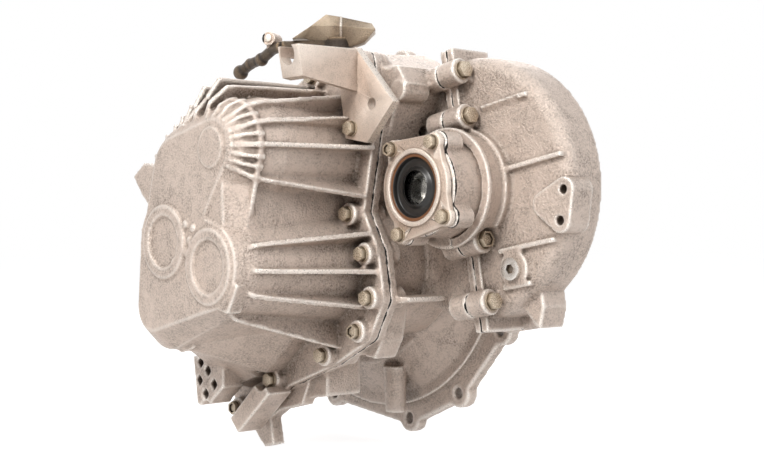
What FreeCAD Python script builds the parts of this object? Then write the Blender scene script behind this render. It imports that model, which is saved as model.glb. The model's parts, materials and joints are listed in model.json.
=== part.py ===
import FreeCAD, Part
import math
import os
import Sketcher
from FreeCAD import Placement, Rotation, Vector

# A manual transaxle that lies across an engine bay. The x axis runs along the input shaft
# towards the engine, z points up, and the differential sits on the -y side. The origin is
# on the input shaft's axis in the plane of the bell housing's engine face. Millimetres.

SIZES = {
    # places of the shafts about the input shaft, seen along x
    "lower_y": -79, "lower_z": -24,
    "upper_y": -82, "upper_z": 92,
    "diff_y": -215, "diff_z": 53,
    "cover_lean": 10,
    # stations along x
    "end_x": -315, "shoulder_x": -290, "split_x": -160, "bulkhead_x": -52,
    "drum_front_x": -95, "drum_back_x": -48, "nose_x": -162,
    # castings
    "wall": 5.5, "end_wall": 8, "bulkhead_wall": 8, "rib_wall": 5,
    "case_flange": 20, "housing_flange": 14, "flange_margin": 12.5,
    "case_bolt_radius": 4, "case_head_radius": 8, "boss_radius": 11.5,
    "input_bay": 62, "lower_bay": 62, "upper_bay": 50, "sump_bay": 58,
    "housing_lower_bay": 77, "housing_upper_bay": 63,
    "cap_ring": 38, "cap_pocket": 26, "cap_depth": 3, "upper_cap": 20,
    # bell housing
    "bell_flange": 15, "bell_rim": 196, "bell_root": 140, "bell_wall": 6,
    "bell_hole_circle": 207, "bell_hole_radius": 6, "bell_lug": 16,
    # differential housing and cover
    "drum_radius": 133, "nose_radius": 48, "cover_flange": 9, "cover_bolt_radius": 5,
    "cover_boss": 13, "ear_radius": 12, "ear_hole_radius": 4.5, "cover_reach": 24,
    "diff_race_radius": 34, "back_boss": 44,
    "retainer_radius": 45, "retainer_bolts_radius": 50, "retainer_plate": 7,
    "retainer_bolt_radius": 4, "seal_radius": 33, "seal_bore": 17, "output_bore": 12,
    # shafts and bearings
    "shaft_radius": 12, "nose_shaft_radius": 11, "nose_shoulder_x": -2, "nose_reach": 24,
    "race_radius": 31, "race_width": 16, "race_wall": 6, "slack": 0.08,
    # gears, with the number of teeth of each
    "gear_width": 16, "hub_width": 12, "dog_width": 4, "dog_radius": 33,
    "sleeve_wall": 7, "sleeve_width": 14, "sleeve_travel": 6.5, "zone": 28,
    "lower_pinion_teeth": 24, "final_x": -82, "final_width": 26,
    "first_x": -110, "second_x": -154, "third_x": -174, "fourth_x": -218, "fifth_x": -238,
    "bracket_plate": 9,
    # selector
    "rail_y": -28, "rail_z": 62, "rail2_y": -23, "rail2_z": 108, "rail_radius": 6,
    "selector_x": -100, "selector_y": -18, "selector_top": 205, "selector_radius": 7,
}

doc = FreeCAD.newDocument("Transaxle")
sheet = doc.addObject("Spreadsheet::Sheet", "Sizes")
for row, (alias, number) in enumerate(SIZES.items(), start=1):
    sheet.set("A%d" % row, alias)
    sheet.set("B%d" % row, str(number))
    sheet.setAlias("B%d" % row, alias)
doc.recompute()


class Size:
    """A number together with the expression that yields it from the sheet."""

    def __init__(self, value, text):
        self.value = value
        self.text = text

    def join(self, other, sign, value, swap=False):
        other_text = other.text if isinstance(other, Size) else "%.6f" % other
        left, right = (other_text, self.text) if swap else (self.text, other_text)
        return Size(value, "(%s %s %s)" % (left, sign, right))

    def __add__(self, other):
        return self.join(other, "+", self.value + float(other))

    def __radd__(self, other):
        return self.join(other, "+", float(other) + self.value, swap=True)

    def __sub__(self, other):
        return self.join(other, "-", self.value - float(other))

    def __rsub__(self, other):
        return self.join(other, "-", float(other) - self.value, swap=True)

    def __mul__(self, other):
        return self.join(other, "*", self.value * float(other))

    def __rmul__(self, other):
        return self.join(other, "*", float(other) * self.value, swap=True)

    def __truediv__(self, other):
        return self.join(other, "/", self.value / float(other))

    def __neg__(self):
        return Size(-self.value, "(0 - %s)" % self.text)

    def __float__(self):
        return float(self.value)


def size(alias):
    return Size(float(sheet.get(alias)), "Sizes." + alias)


def bind(thing, path, value):
    """Gives a property its value, by an expression where the value comes from the sheet."""
    if isinstance(value, Size):
        thing.setExpression(path, value.text)
    else:
        thing.setExpression(path, "%.6f" % value)


# Part primitives along x, and the booleans that join them

TO_X = Rotation(Vector(0, 1, 0), 90)
made = [0]


def fresh(name):
    made[0] += 1
    return "%s_%d" % (name, made[0])


def put(thing, place):
    for letter, value in zip("xyz", place):
        bind(thing, "Placement.Base." + letter, value)
    return thing


def rod(start, stop, radius, centre, turned=TO_X):
    """A round bar along x from start to stop about centre (y, z)."""
    bar = doc.addObject("Part::Cylinder", fresh("rod"))
    bar.Placement.Rotation = turned
    bind(bar, "Radius", radius)
    bind(bar, "Height", stop - start)
    return put(bar, (start, centre[0], centre[1]))


def post(bottom, top, radius, place):
    """A round bar along z from bottom to top at place (x, y)."""
    bar = doc.addObject("Part::Cylinder", fresh("post"))
    bind(bar, "Radius", radius)
    bind(bar, "Height", top - bottom)
    return put(bar, (place[0], place[1], bottom))


def cone(start, stop, first_radius, last_radius, centre):
    bar = doc.addObject("Part::Cone", fresh("cone"))
    bar.Placement.Rotation = TO_X
    bind(bar, "Radius1", first_radius)
    bind(bar, "Radius2", last_radius)
    bind(bar, "Height", stop - start)
    return put(bar, (start, centre[0], centre[1]))


def block(low, high):
    box = doc.addObject("Part::Box", fresh("block"))
    for side, a, b in zip(("Length", "Width", "Height"), low, high):
        bind(box, side, b - a)
    return put(box, low)


def fuse(pieces, name="joined"):
    union = doc.addObject("Part::MultiFuse", fresh(name))
    union.Shapes = pieces
    return union


def cut(base, tools, name="cut"):
    if not isinstance(tools, list):
        tools = [tools]
    for tool in tools:
        result = doc.addObject("Part::Cut", fresh(name))
        result.Base = base
        result.Tool = tool
        base = result
    return base


def common(base, tool, name="common"):
    result = doc.addObject("Part::Common", fresh(name))
    result.Base = base
    result.Tool = tool
    return result


def feature(shape, name="form"):
    form = doc.addObject("Part::Feature", fresh(name))
    form.Shape = shape
    return form


def group(shapes, name="group"):
    """Several separate solids in one node."""
    return feature(Part.makeCompound(shapes), name)


parts = {}


def hand_over(thing, label):
    """Marks an object of the document as a finished sub-part."""
    thing.Label = label
    parts[label] = thing
    return thing


# Sketched bodies

def origin_plane(body, role):
    return [plane for plane in body.Origin.OriginFeatures if plane.Role == role][0]


def sketch(body, role, outlines):
    """A sketch on one of the body's origin planes; each outline is a list of corners."""
    drawing = body.newObject("Sketcher::SketchObject", fresh("outline"))
    drawing.AttachmentSupport = [(origin_plane(body, role), "")]
    drawing.MapMode = "FlatFace"
    for corners in outlines:
        first = drawing.GeometryCount
        count = len(corners)
        for i, corner in enumerate(corners):
            after = corners[(i + 1) % count]
            start = Vector(float(corner[0]), float(corner[1]), 0)
            stop = Vector(float(after[0]), float(after[1]), 0)
            drawing.addGeometry(Part.LineSegment(start, stop), False)
        for i in range(count):
            after = first + (i + 1) % count
            drawing.addConstraint(Sketcher.Constraint("Coincident", first + i, 2, after, 1))
        for i, corner in enumerate(corners):
            for kind, value in zip(("DistanceX", "DistanceY"), corner):
                rule = Sketcher.Constraint(kind, -1, 1, first + i, 1, float(value))
                index = drawing.addConstraint(rule)
                bind(drawing, "Constraints[%d]" % index, value)
    return drawing


def turned(name, profile, place):
    """A body turned about its own x axis from a profile of (x, radius) corners."""
    body = doc.addObject("PartDesign::Body", fresh(name))
    drawing = sketch(body, "XZ_Plane", [profile])
    revolution = body.newObject("PartDesign::Revolution", fresh("revolution"))
    revolution.Profile = drawing
    revolution.ReferenceAxis = (drawing, ["H_Axis"])
    revolution.Angle = 360
    return put(body, place)


# Sizes used by name

wall = size("wall")
end_x = size("end_x")
shoulder_x = size("shoulder_x")
split_x = size("split_x")
bulkhead_x = size("bulkhead_x")
slack = size("slack")
AXIS_INPUT = (0.0, 0.0)
AXIS_LOWER = (size("lower_y"), size("lower_z"))
AXIS_UPPER = (size("upper_y"), size("upper_z"))
AXIS_DIFF = (size("diff_y"), size("diff_z"))
DEGREE = math.pi / 180


def flat(centre):
    return float(centre[0]), float(centre[1])


def distance(one, other):
    (ay, az), (by, bz) = flat(one), flat(other)
    return math.hypot(ay - by, az - bz)


def bearing_of(one, other):
    """The direction from one axis to another, in degrees from +y towards +z."""
    (ay, az), (by, bz) = flat(one), flat(other)
    return math.atan2(bz - az, by - ay) / DEGREE


def polar(centre, radius, degrees):
    y, z = flat(centre)
    angle = degrees * DEGREE
    return y + float(radius) * math.cos(angle), z + float(radius) * math.sin(angle)


# Casting forms

def hull_wire(x, circles):
    """The taut outline round circles (y, z, radius), listed counter-clockwise seen from +x."""
    normals = []
    count = len(circles)
    for i in range(count):
        ay, az, ar = circles[i]
        by, bz, br = circles[(i + 1) % count]
        dy, dz = by - ay, bz - az
        span = math.hypot(dy, dz)
        along = (ar - br) / span
        across = math.sqrt(1 - along * along)
        uy, uz = dy / span, dz / span
        normals.append((along * uy + across * uz, along * uz - across * uy))
    edges = []
    for i in range(count):
        y, z, r = circles[i]
        (py, pz), (ny, nz) = normals[i - 1], normals[i]
        my, mz = py + ny, pz + nz
        length = math.hypot(my, mz)
        first = Vector(x, y + r * py, z + r * pz)
        middle = Vector(x, y + r * my / length, z + r * mz / length)
        last = Vector(x, y + r * ny, z + r * nz)
        edges.append(Part.Arc(first, middle, last).toShape())
        fy, fz, fr = circles[(i + 1) % count]
        edges.append(Part.LineSegment(last, Vector(x, fy + fr * ny, fz + fr * nz)).toShape())
    return Part.Wire(edges)


def loft_hull(stations):
    """A solid through hull outlines at several stations (x, circles)."""
    wires = [hull_wire(float(x), circles) for x, circles in stations]
    return Part.makeLoft(wires, True, True)


def plate(points, start, stop):
    """A flat plate between two stations, its outline given by (y, z) corners."""
    corners = [Vector(float(start), float(y), float(z)) for y, z in points]
    wire = Part.makePolygon(corners + corners[:1])
    return Part.Face(wire).extrude(Vector(float(stop) - float(start), 0, 0))


def grown_plate(points, margin, start, stop):
    corners = [Vector(float(start), float(y), float(z)) for y, z in points]
    face = Part.Face(Part.makePolygon(corners + corners[:1]))
    grown = face.makeOffset2D(float(margin))
    return grown.extrude(Vector(float(stop) - float(start), 0, 0))


def rib(centre, degrees, profile, thickness):
    """A thin rib that stands out from an axis; its profile holds (x, radius) corners."""
    root = 20.0
    corners = [Vector(float(profile[0][0]), root, 0)]
    corners += [Vector(float(x), float(r), 0) for x, r in profile]
    corners += [Vector(float(profile[-1][0]), root, 0)]
    face = Part.Face(Part.makePolygon(corners + corners[:1]))
    face.translate(Vector(0, 0, -float(thickness) / 2))
    solid = face.extrude(Vector(0, 0, float(thickness)))
    solid.rotate(Vector(0, 0, 0), Vector(1, 0, 0), degrees)
    y, z = flat(centre)
    solid.translate(Vector(0, y, z))
    return solid


def tube_x(start, stop, radius, centre):
    y, z = flat(centre)
    length = float(stop) - float(start)
    return Part.makeCylinder(float(radius), length, Vector(float(start), y, z), Vector(1, 0, 0))


# The bays of the castings, each a taut outline round the shafts that it holds

SELECTOR_BAY = (-16.0, 68.0)
SUMP_BAY = (25.0, -66.0)


def upper_bays(input_radius, selector_radius, upper_radius):
    """The upper bay starts inside the lower one, so that the two overlap cleanly."""
    return [circle(AXIS_INPUT, input_radius - 4), circle(SELECTOR_BAY, selector_radius),
            circle(AXIS_UPPER, upper_radius)]


def lower_bays(input_radius, lower_radius, sump_radius):
    return [circle(AXIS_INPUT, input_radius), circle(AXIS_LOWER, lower_radius),
            circle(SUMP_BAY, sump_radius)]


def circle(centre, radius):
    y, z = flat(centre)
    return y, z, float(radius)


def gearbox_form(upper, lower, shrink=0.0):
    """Fuses the upper and lower bays; shrink pulls every radius in by a wall."""
    forms = []
    for bays, stations in ((upper_bays, upper), (lower_bays, lower)):
        outline = [(x, bays(*[float(r) - float(shrink) for r in radii])) for x, radii in stations]
        forms.append(loft_hull(outline))
    return forms[0].fuse(forms[1])


# Split flange bolts, from the photograph on the near side and evenly spaced on the far side

CASE_BOLTS = [(-134.9, 182.5), (-145.6, 113.3), (-128.6, 28.3), (-151.7, -12.0), (-159.3, -55.7),
              (-141.0, -90.1), (-88.0, -117.7), (-1.0, -149.8), (63.0, -186.5), (98.0, -120.0),
              (88.0, -45.0), (80.0, 30.0), (52.0, 100.0), (-5.0, 142.0), (-72.0, 172.0)]

case_face_x = split_x - size("case_flange")
housing_face_x = split_x + size("housing_flange")
input_bay = size("input_bay")
upper_bay = size("upper_bay")
lower_bay = size("lower_bay")
sump_bay = size("sump_bay")


# Gear case: the closed casting on the left, with the end caps of the shafts and its ribs

BROW_X = end_x + 22
WAIST_X = end_x + 53
UPPER_STATIONS = [(end_x, (46, 38, 28)), (end_x + 9, (50, 47, 38)), (BROW_X, (54, 54, 45)),
                  (WAIST_X, (57, 57, 52)), (split_x, (input_bay, 57, upper_bay + 2))]
LOWER_STATIONS = [(end_x, (46, 42, 26)), (BROW_X, (54, 49, 46)),
                  (split_x, (input_bay, lower_bay, sump_bay))]
WEB_STATIONS = [(end_x + 2, (14, 22, 20)), (BROW_X, (28, 36, 30)), (split_x, (33, 37, 40))]
SUMP_STATIONS = [(BROW_X, ((-50, -50, 16), (14, -100, 9), (58, -76, 9), (42, -20, 16))),
                 (split_x - 34, ((-66, -70, 18), (-6, -132, 9), (47, -150, 9), (70, -60, 18))),
                 (split_x, ((-66, -70, 18), (-4, -134, 9), (52, -156, 9), (74, -62, 18)))]


def gear_case_form(shrink, front_shift):
    """The taut form of the gear case; shrink and front_shift give the space inside it."""
    def moved(stations):
        first, *rest, last = stations
        back = split_x + (1 if shrink else 0)
        return [(first[0] + front_shift, first[1])] + rest + [(back, last[1])]

    form = gearbox_form(moved(UPPER_STATIONS), moved(LOWER_STATIONS), shrink)
    web = [(x, [circle(AXIS_UPPER, up - float(shrink)), circle(AXIS_LOWER, low - float(shrink)),
                circle(AXIS_INPUT, mid - float(shrink))])
           for x, (up, low, mid) in moved(WEB_STATIONS)]
    sump = [(x, [(y, z, r - float(shrink)) for y, z, r in circles])
            for x, circles in moved(SUMP_STATIONS)]
    return form.multiFuse([loft_hull(web), loft_hull(sump)])


def gear_case():
    outer = gear_case_form(0.0, 0.0)
    flange = grown_plate(CASE_BOLTS, size("flange_margin"), split_x - 10, split_x)
    bosses = [tube_x(case_face_x, split_x, size("boss_radius"), bolt) for bolt in CASE_BOLTS]
    rings = [tube_x(end_x - 3, end_x + 10, size("cap_ring"), axis)
             for axis in (AXIS_INPUT, AXIS_LOWER)]
    rings.append(tube_x(end_x - 2, end_x + 10, size("upper_cap"), AXIS_UPPER))
    form = outer.multiFuse([flange] + bosses + rings + case_ribs() + case_lugs())

    form = form.cut(gear_case_form(wall, size("end_wall")))
    seats = []
    for axis in (AXIS_INPUT, AXIS_LOWER, AXIS_UPPER):
        seats.append(tube_x(end_x + 8, end_x + 9 + size("race_width"),
                            size("race_radius") + 5, axis))
    seats.append(tube_x(end_x + 5, end_x + 24, size("rail_radius") + 5, RAIL))
    seats.append(tube_x(end_x + 5, end_x + 24, size("rail_radius") + 5, RAIL_TWO))
    form = form.multiFuse(seats)
    holes = [tube_x(end_x + 9, end_x + 60, size("race_radius") + 0.02, axis)
             for axis in (AXIS_INPUT, AXIS_LOWER, AXIS_UPPER)]
    holes += [tube_x(end_x + 9, end_x + 60, size("rail_radius") + 0.02, axis)
              for axis in (RAIL, RAIL_TWO)]
    holes += [tube_x(end_x - 10, end_x - 3 + size("cap_depth"), size("cap_pocket"), axis)
              for axis in (AXIS_INPUT, AXIS_LOWER)]
    for bolt in CASE_BOLTS:
        holes.append(tube_x(case_face_x - 1, split_x + 1, size("case_bolt_radius") + 0.5, bolt))
        holes.append(tube_x(case_face_x - 60, case_face_x, size("case_head_radius") + 3, bolt))
    land = plate(BRACKET_PLATE, case_face_x - size("bracket_plate"), case_face_x)
    return form.cut(Part.makeCompound(holes)).cut(land)


# Ribs of the gear case: (direction, height at the waist, height at the flange) about a shaft

LONG_RIBS = [(AXIS_UPPER, 126, 56, 72), (AXIS_UPPER, 152, 56, 72), (AXIS_UPPER, 178, 55, 75),
             (AXIS_UPPER, 217, 56, 79), (AXIS_LOWER, 156, 58, 82), (AXIS_LOWER, 184, 58, 86),
             (AXIS_LOWER, 212, 58, 82), (AXIS_LOWER, 254, 60, 91)]
FAN_RIBS = (20, 44, 68, 92, 110, 139, 165, 192, 204)
CROWN = (-20.0, 50.0)
CROWN_RIBS = [(35, 76), (56, 71), (71, 72), (83, 79), (93, 88), (107, 105), (119, 120)]
CAP_RIBS = (-2, 14, -22, -44)


def case_ribs():
    thick = size("rib_wall")
    edge = split_x - 8
    fan_start = end_x + 1
    fins = []
    for axis, degrees, waist, reach in LONG_RIBS:
        profile = [(fan_start, 32), (BROW_X - 2, waist - 5), (BROW_X + 14, waist), (edge, reach)]
        fins.append(rib(axis, degrees, profile, thick))
    for degrees in FAN_RIBS:
        profile = [(fan_start, 31), (end_x + 9, 43), (BROW_X, 50), (BROW_X + 8, 51)]
        fins.append(rib(AXIS_UPPER, degrees, profile, 4))
    for degrees, reach in CROWN_RIBS:
        profile = [(fan_start + 6, reach - 20), (BROW_X, reach - 1), (BROW_X + 10, reach),
                   (edge, reach + 4)]
        fins.append(rib(CROWN, degrees, profile, thick))
    for degrees in CAP_RIBS:
        profile = [(fan_start, 44), (end_x + 4, 53), (end_x + 14, 57), (edge, 66)]
        fins.append(rib(AXIS_INPUT, degrees, profile, 4))
    band = [circle(AXIS_UPPER, 49), (-70.0, 22.0, 41.0), (-18.0, 56.0, 66.0)]
    hoop = Part.Face(hull_wire(float(BROW_X) + 1, band)).extrude(Vector(5, 0, 0))
    return fins + [hoop]


# Lugs and pads of the gear case, each a flat form between two stations

CASE_PADS = [
    # square lug on the far side
    (end_x + 30, end_x + 46, [(36, 40), (62, 82), (88, 85), (110, 71), (92, 50), (44, 10)]),
    # square-edged block beside the lower cap
    (end_x + 2, end_x + 18, [(-94, -50), (-117, -34), (-122, -42), (-107, -69), (-92, -66)]),
    # pad along the bottom of the flange
    (split_x - 36, split_x - 4, [(54, -196), (39, -211), (-17, -163), (-2, -146)]),
    # pad under the sump
    (BROW_X + 10, BROW_X + 14, [(-30, -70), (-2, -110), (20, -116), (40, -100), (30, -60)]),
]
LATTICE = [(88, -128), (80, -180), (60, -185), (50, -173), (30, -158), (30, -120)]
LATTICE_HOLES = [(64, -168), (76, -154), (48, -156), (60, -142), (74, -134)]
DOTS = [(-38, 18), (-51, 14), (-30, 5), (-44, 1), (-25, -8), (-38, -11), (-17, -19)]


def case_lugs():
    lugs = [plate(points, start, stop) for start, stop, points in CASE_PADS]
    lattice = plate(LATTICE, split_x - 62, split_x - 34)
    pockets = []
    for y, z in LATTICE_HOLES:
        corners = [(y + 6.5, z), (y, z + 6.5), (y - 6.5, z), (y, z - 6.5)]
        pockets.append(plate(corners, split_x - 63, split_x - 40))
    lugs.append(lattice.cut(Part.makeCompound(pockets)))
    lugs += [tube_x(end_x - 1, end_x + 3, 2.4, dot) for dot in DOTS]
    return lugs


BRACKET_PLATE = [(-122, 192), (-150, 194), (-206, 136), (-168, 98), (-136, 104), (-128, 150)]
RAIL = (size("rail_y"), size("rail_z"))
RAIL_TWO = (size("rail2_y"), size("rail2_z"))


# Main housing: the gearbox's engine half, the bell and the housing half of the differential

def lean_axis():
    return Placement(Vector(0, *flat(AXIS_DIFF)),
                     Rotation(Vector(1, 0, 0), -float(size("cover_lean"))))


drum_front_x = size("drum_front_x")
drum_back_x = size("drum_back_x")
nose_x = size("nose_x")
drum_radius = size("drum_radius")
RIM = float(drum_radius)
COVER_BOLTS = [(-107.0, RIM - 17), (-107.0, 69.0), (-107.0, -56.0), (-107.0, 16 - RIM),
               (-36.0, 0 - RIM), (-36.0, RIM - 33)]


COVER_EARS = [(-128.0, -26.0), (-119.0, -54.0)]
PLUG = (-51.0, -89.0)


def half_space(cover_side):
    """A large block on one side of the cover's split plane, in the leaning frame."""
    reach = 400.0
    low = -reach if cover_side else 0.0
    box = Part.makeBox(200, reach, 2 * reach, Vector(-190, low, -reach))
    box.Placement = lean_axis()
    return box


def drum_solid(shrink):
    radius = float(drum_radius) - float(shrink)
    front = float(drum_front_x) + float(shrink)
    back = float(drum_back_x) - float(shrink)
    body = tube_x(front, back, radius, (0, 0))
    edge = [e for e in body.Edges if abs(e.BoundBox.XMin - front) < 0.01
            and abs(e.BoundBox.XMax - front) < 0.01]
    return body.makeFillet(14.0 - float(shrink), edge)


def cover_frame():
    """Flange rims and bolt bosses that both halves share, in the leaning frame about the axis."""
    rim = size("cover_flange")
    pieces = []
    outline = tube_x(drum_front_x - 6, drum_back_x, drum_radius + 12, (0, 0))
    slab = Part.makeBox(200, float(rim) * 2, 600, Vector(-190, -float(rim), -300))
    pieces.append(outline.common(slab))
    for x, along in COVER_BOLTS:
        boss = Part.makeCylinder(float(size("cover_boss")), 2 * float(size("cover_reach")),
                                 Vector(x, -float(size("cover_reach")), along), Vector(0, 1, 0))
        pieces.append(boss)
    return pieces


def collar():
    """The ring round the output nose, with a lip at each end, in the leaning frame."""
    front = float(drum_front_x) - 33
    back = float(drum_front_x) + 2
    radius = float(size("nose_radius")) + 9
    ring = tube_x(front, back, radius, (0, 0))
    lips = [tube_x(front, front + 5, radius + 3.5, (0, 0)),
            tube_x(back - 11, back, radius + 3.5, (0, 0))]
    return ring.multiFuse(lips)


FOOT = [(-36, -118), (-50, -139), (-60, -150), (-69, -129), (-68, -108)]


def differential_cover():
    drum = drum_solid(0.0)
    ribs = []
    for along, start, stop in ((72, 34, 96), (6, 10, 128), (-72, 34, 106), (-108, 34, 70)):
        fin = Part.makeBox(7, float(stop) - start, float(size("rib_wall")),
                           Vector(float(drum_front_x) - 5, -float(stop), along))
        ribs.append(fin)
    ears = [circle(spot, size("ear_radius")) for spot in COVER_EARS + [(-100.0, -35.0)]]
    lug = Part.Face(hull_wire(float(drum_front_x) - 8, ears)).extrude(Vector(30, 0, 0))
    plug_boss = tube_x(drum_front_x - 5, drum_front_x + 4, 18, PLUG)
    foot = plate(FOOT, drum_front_x + 12, drum_back_x)
    form = drum.multiFuse(cover_frame() + ribs + [lug, plug_boss, collar(), foot])
    form = form.cut(drum_solid(wall))
    tools = cover_bolt_holes()
    tools.append(tube_x(nose_x - 20, drum_front_x, size("nose_radius") + 2.5, (0, 0)))
    tools.append(tube_x(nose_x - 20, drum_front_x + 10, size("nose_radius") - 5, (0, 0)))
    tools.append(tube_x(drum_back_x - 12, drum_back_x + 10, size("back_boss") + 0.05, (0, 0)))
    reach = float(size("cover_reach"))
    for x, along in COVER_BOLTS:
        tools.append(Part.makeCylinder(11, 60, Vector(x, -reach - 60, along), Vector(0, 1, 0)))
    for spot in COVER_EARS:
        tools.append(tube_x(drum_front_x - 9, drum_front_x + 2, size("ear_hole_radius"), spot))
    tools.append(tube_x(drum_front_x - 10, drum_front_x + 10, 7.02, PLUG))
    form = form.cut(Part.makeCompound(tools))
    form.Placement = lean_axis()
    return form.common(half_space(True))


def cover_bolt_holes():
    return [Part.makeCylinder(float(size("cover_bolt_radius")) + 0.5, 120, Vector(x, -60, along),
                              Vector(0, 1, 0)) for x, along in COVER_BOLTS]


# Pads and shelves of the main housing, each a flat form between two stations

HOUSING_PADS = [
    # shelf under the near side, with the pad below it
    (split_x + 8, -101, [(-120, -54), (-190, -55), (-190, -60), (-120, -66)]),
    (split_x + 8, -122, [(-100, -60), (-158, -60), (-150, -100), (-138, -120), (-90, -112)]),
    # pad between the bottom of the flange and the bell
    (split_x + 8, -104, [(-20, -120), (-62, -120), (-62, -165), (-30, -170)]),
    # foot under the flange
    (split_x + 2, -142, [(-45, -140), (-31, -168), (-27, -177), (12, -186), (30, -197),
                         (24, -226), (40, -230), (50, -223), (66, -206), (78, -180), (40, -150)]),
    # ledge behind the top of the flange
    (split_x + 8, -102, [(-112, 150), (-100, 168), (-172, 178), (-186, 158)]),
]
SHOULDER = [(-112, 184, 11), (-160, 158, 15), (-112, 96, 40)]


def housing_pads():
    pads = [plate(points, start, stop) for start, stop, points in HOUSING_PADS]
    broader = [(y - 4, z + 2, r + 4) for y, z, r in SHOULDER]
    pads.append(loft_hull([(split_x + 8, SHOULDER), (-62, broader)]))
    pads.append(Part.makeCone(11, 14, 52, Vector(-44, -52, -192), Vector(0, 0, 1)))
    pads.append(tube_x(split_x + 6, -118, 11, (-174, 152)))
    return pads


def bell_form():
    """The bell's wall and its flange, whose edge runs straight from lug to lug."""
    hub = float(bulkhead_x)
    spots = [polar(AXIS_INPUT, size("bell_hole_circle"), a) for a in BELL_BOLTS]
    lugs = [tube_x(-size("bell_flange"), 0, size("bell_lug"), spot) for spot in spots]
    ordered = [polar(AXIS_INPUT, size("bell_hole_circle"), a) for a in sorted(BELL_BOLTS)]
    edge = grown_plate(ordered, 8, -size("bell_flange"), 0)
    disc = tube_x(-size("bell_flange"), 0, size("bell_rim"), AXIS_INPUT)
    step = tube_x(-size("bell_flange") - 6, -size("bell_flange"), size("bell_rim") - 5, AXIS_INPUT)
    cone_length = abs(hub) - 14
    wall_form = Part.makeCone(float(size("bell_root")), float(size("bell_rim")) - 8, cone_length,
                              Vector(hub, 0, 0), Vector(1, 0, 0))
    clutch = Part.makeCone(float(size("bell_root")) - 7, float(size("bell_rim")) - 14,
                           abs(hub) - 8, Vector(hub + 8, 0, 0), Vector(1, 0, 0))
    return wall_form.multiFuse([disc, step, edge] + lugs), clutch


def main_housing():
    inside_x = split_x
    top_radii = (input_bay, 53, size("housing_upper_bay"))
    low_radii = (input_bay, size("housing_lower_bay"), sump_bay)
    outer = gearbox_form([(inside_x, top_radii), (bulkhead_x, top_radii)],
                         [(inside_x, low_radii), (bulkhead_x, low_radii)])
    flange = grown_plate(CASE_BOLTS, size("flange_margin"), split_x,
                         split_x + size("housing_flange") - 4)
    bosses = [tube_x(split_x, housing_face_x + 8, size("boss_radius"), bolt)
              for bolt in CASE_BOLTS]
    ring_form = drum_solid(0.0).multiFuse(cover_frame() + [collar()])
    ring_form.Placement = lean_axis()
    ring_form = ring_form.common(half_space(False))
    nose = Part.makeCone(float(size("nose_radius")), float(size("nose_radius")) + 2, 67,
                         Vector(float(nose_x), *flat(AXIS_DIFF)), Vector(1, 0, 0))
    lobes = [tube_x(nose_x, nose_x + 24, 11, polar(AXIS_DIFF, size("retainer_bolts_radius"), a))
             for a in RETAINER_BOLTS]
    back_boss = tube_x(drum_back_x - 6, -20, size("back_boss"), AXIS_DIFF)
    bell, clutch = bell_form()
    turret = Part.makeCylinder(26, 110, Vector(float(size("selector_x")),
                                               float(size("selector_y")), 80))
    form = outer.multiFuse([flange] + bosses + [ring_form, nose, turret] + lobes + housing_pads())
    form = form.fuse(back_boss).fuse(bell)

    cavity = gearbox_form([(inside_x - 1, top_radii), (bulkhead_x, top_radii)],
                          [(inside_x - 1, low_radii), (bulkhead_x, low_radii)], wall)
    ring_space = drum_solid(wall)
    ring_space.Placement = lean_axis()
    nose_space = tube_x(nose_x + 24, drum_front_x + 20, size("nose_radius") - 5, AXIS_DIFF)
    turret_space = Part.makeCylinder(18, 111, Vector(float(size("selector_x")),
                                                     float(size("selector_y")), 80))
    form = form.cut(cavity.multiFuse([ring_space, nose_space, turret_space])).cut(clutch)

    seats = []
    for axis in (AXIS_INPUT, AXIS_LOWER, AXIS_UPPER):
        seats.append(tube_x(bulkhead_x - 2, bulkhead_x + 20, size("race_radius") + 6, axis))
    for axis in (RAIL, RAIL_TWO):
        seats.append(tube_x(bulkhead_x - 14, bulkhead_x + 1, size("rail_radius") + 5, axis))
    form = form.multiFuse(seats)
    holes = [tube_x(bulkhead_x - 10, bulkhead_x - 10 + size("race_width") + 9,
                    size("race_radius") + 0.02, axis)
             for axis in (AXIS_INPUT, AXIS_LOWER, AXIS_UPPER)]
    holes.append(tube_x(bulkhead_x - 10, 0, size("race_radius") - 6, AXIS_INPUT))
    holes += [tube_x(bulkhead_x - 20, bulkhead_x - 3, size("rail_radius") + 0.02, axis)
              for axis in (RAIL, RAIL_TWO)]
    holes.append(Part.makeCylinder(5.02, 60, Vector(*BREATHER, 110)))
    holes.append(tube_x(nose_x - 1, nose_x + 26, size("diff_race_radius") + 0.02, AXIS_DIFF))
    holes.append(tube_x(drum_back_x - 20, -32, size("diff_race_radius") + 0.02, AXIS_DIFF))
    holes.append(tube_x(drum_back_x - 20, 0, size("seal_radius") - 4, AXIS_DIFF))
    for a in RETAINER_BOLTS:
        spot = polar(AXIS_DIFF, size("retainer_bolts_radius"), a)
        holes.append(tube_x(nose_x - 1, nose_x + 18, 4.5, spot))
    for bolt in CASE_BOLTS:
        holes.append(tube_x(split_x - 1, housing_face_x + 4, size("case_bolt_radius") + 0.5, bolt))
    for a in BELL_BOLTS:
        spot = polar(AXIS_INPUT, size("bell_hole_circle"), a)
        holes.append(tube_x(-40, 5, size("bell_hole_radius"), spot))
    bolts = Part.makeCompound(cover_bolt_holes())
    bolts.Placement = lean_axis()
    return form.cut(Part.makeCompound(holes)).cut(bolts)


BREATHER = (-130.0, -40.0)
RETAINER_BOLTS = (50.0, 121.0, 215.0, 294.0)
BELL_BOLTS = (-102.0, -126.0, -152.7, -64.0, -20.0, 25.0, 62.0, 98.0, 132.0)

seat_low_x = end_x + 9
seat_high_x = bulkhead_x + size("race_width") - 1
race_width = size("race_width")
race_radius = size("race_radius")
race_wall = size("race_wall")
shaft_radius = size("shaft_radius")
SHAFT_AXES = (("input", AXIS_INPUT), ("lower", AXIS_LOWER), ("upper", AXIS_UPPER))


# Bolts: a flanged hexagon head on a plain shank

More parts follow.
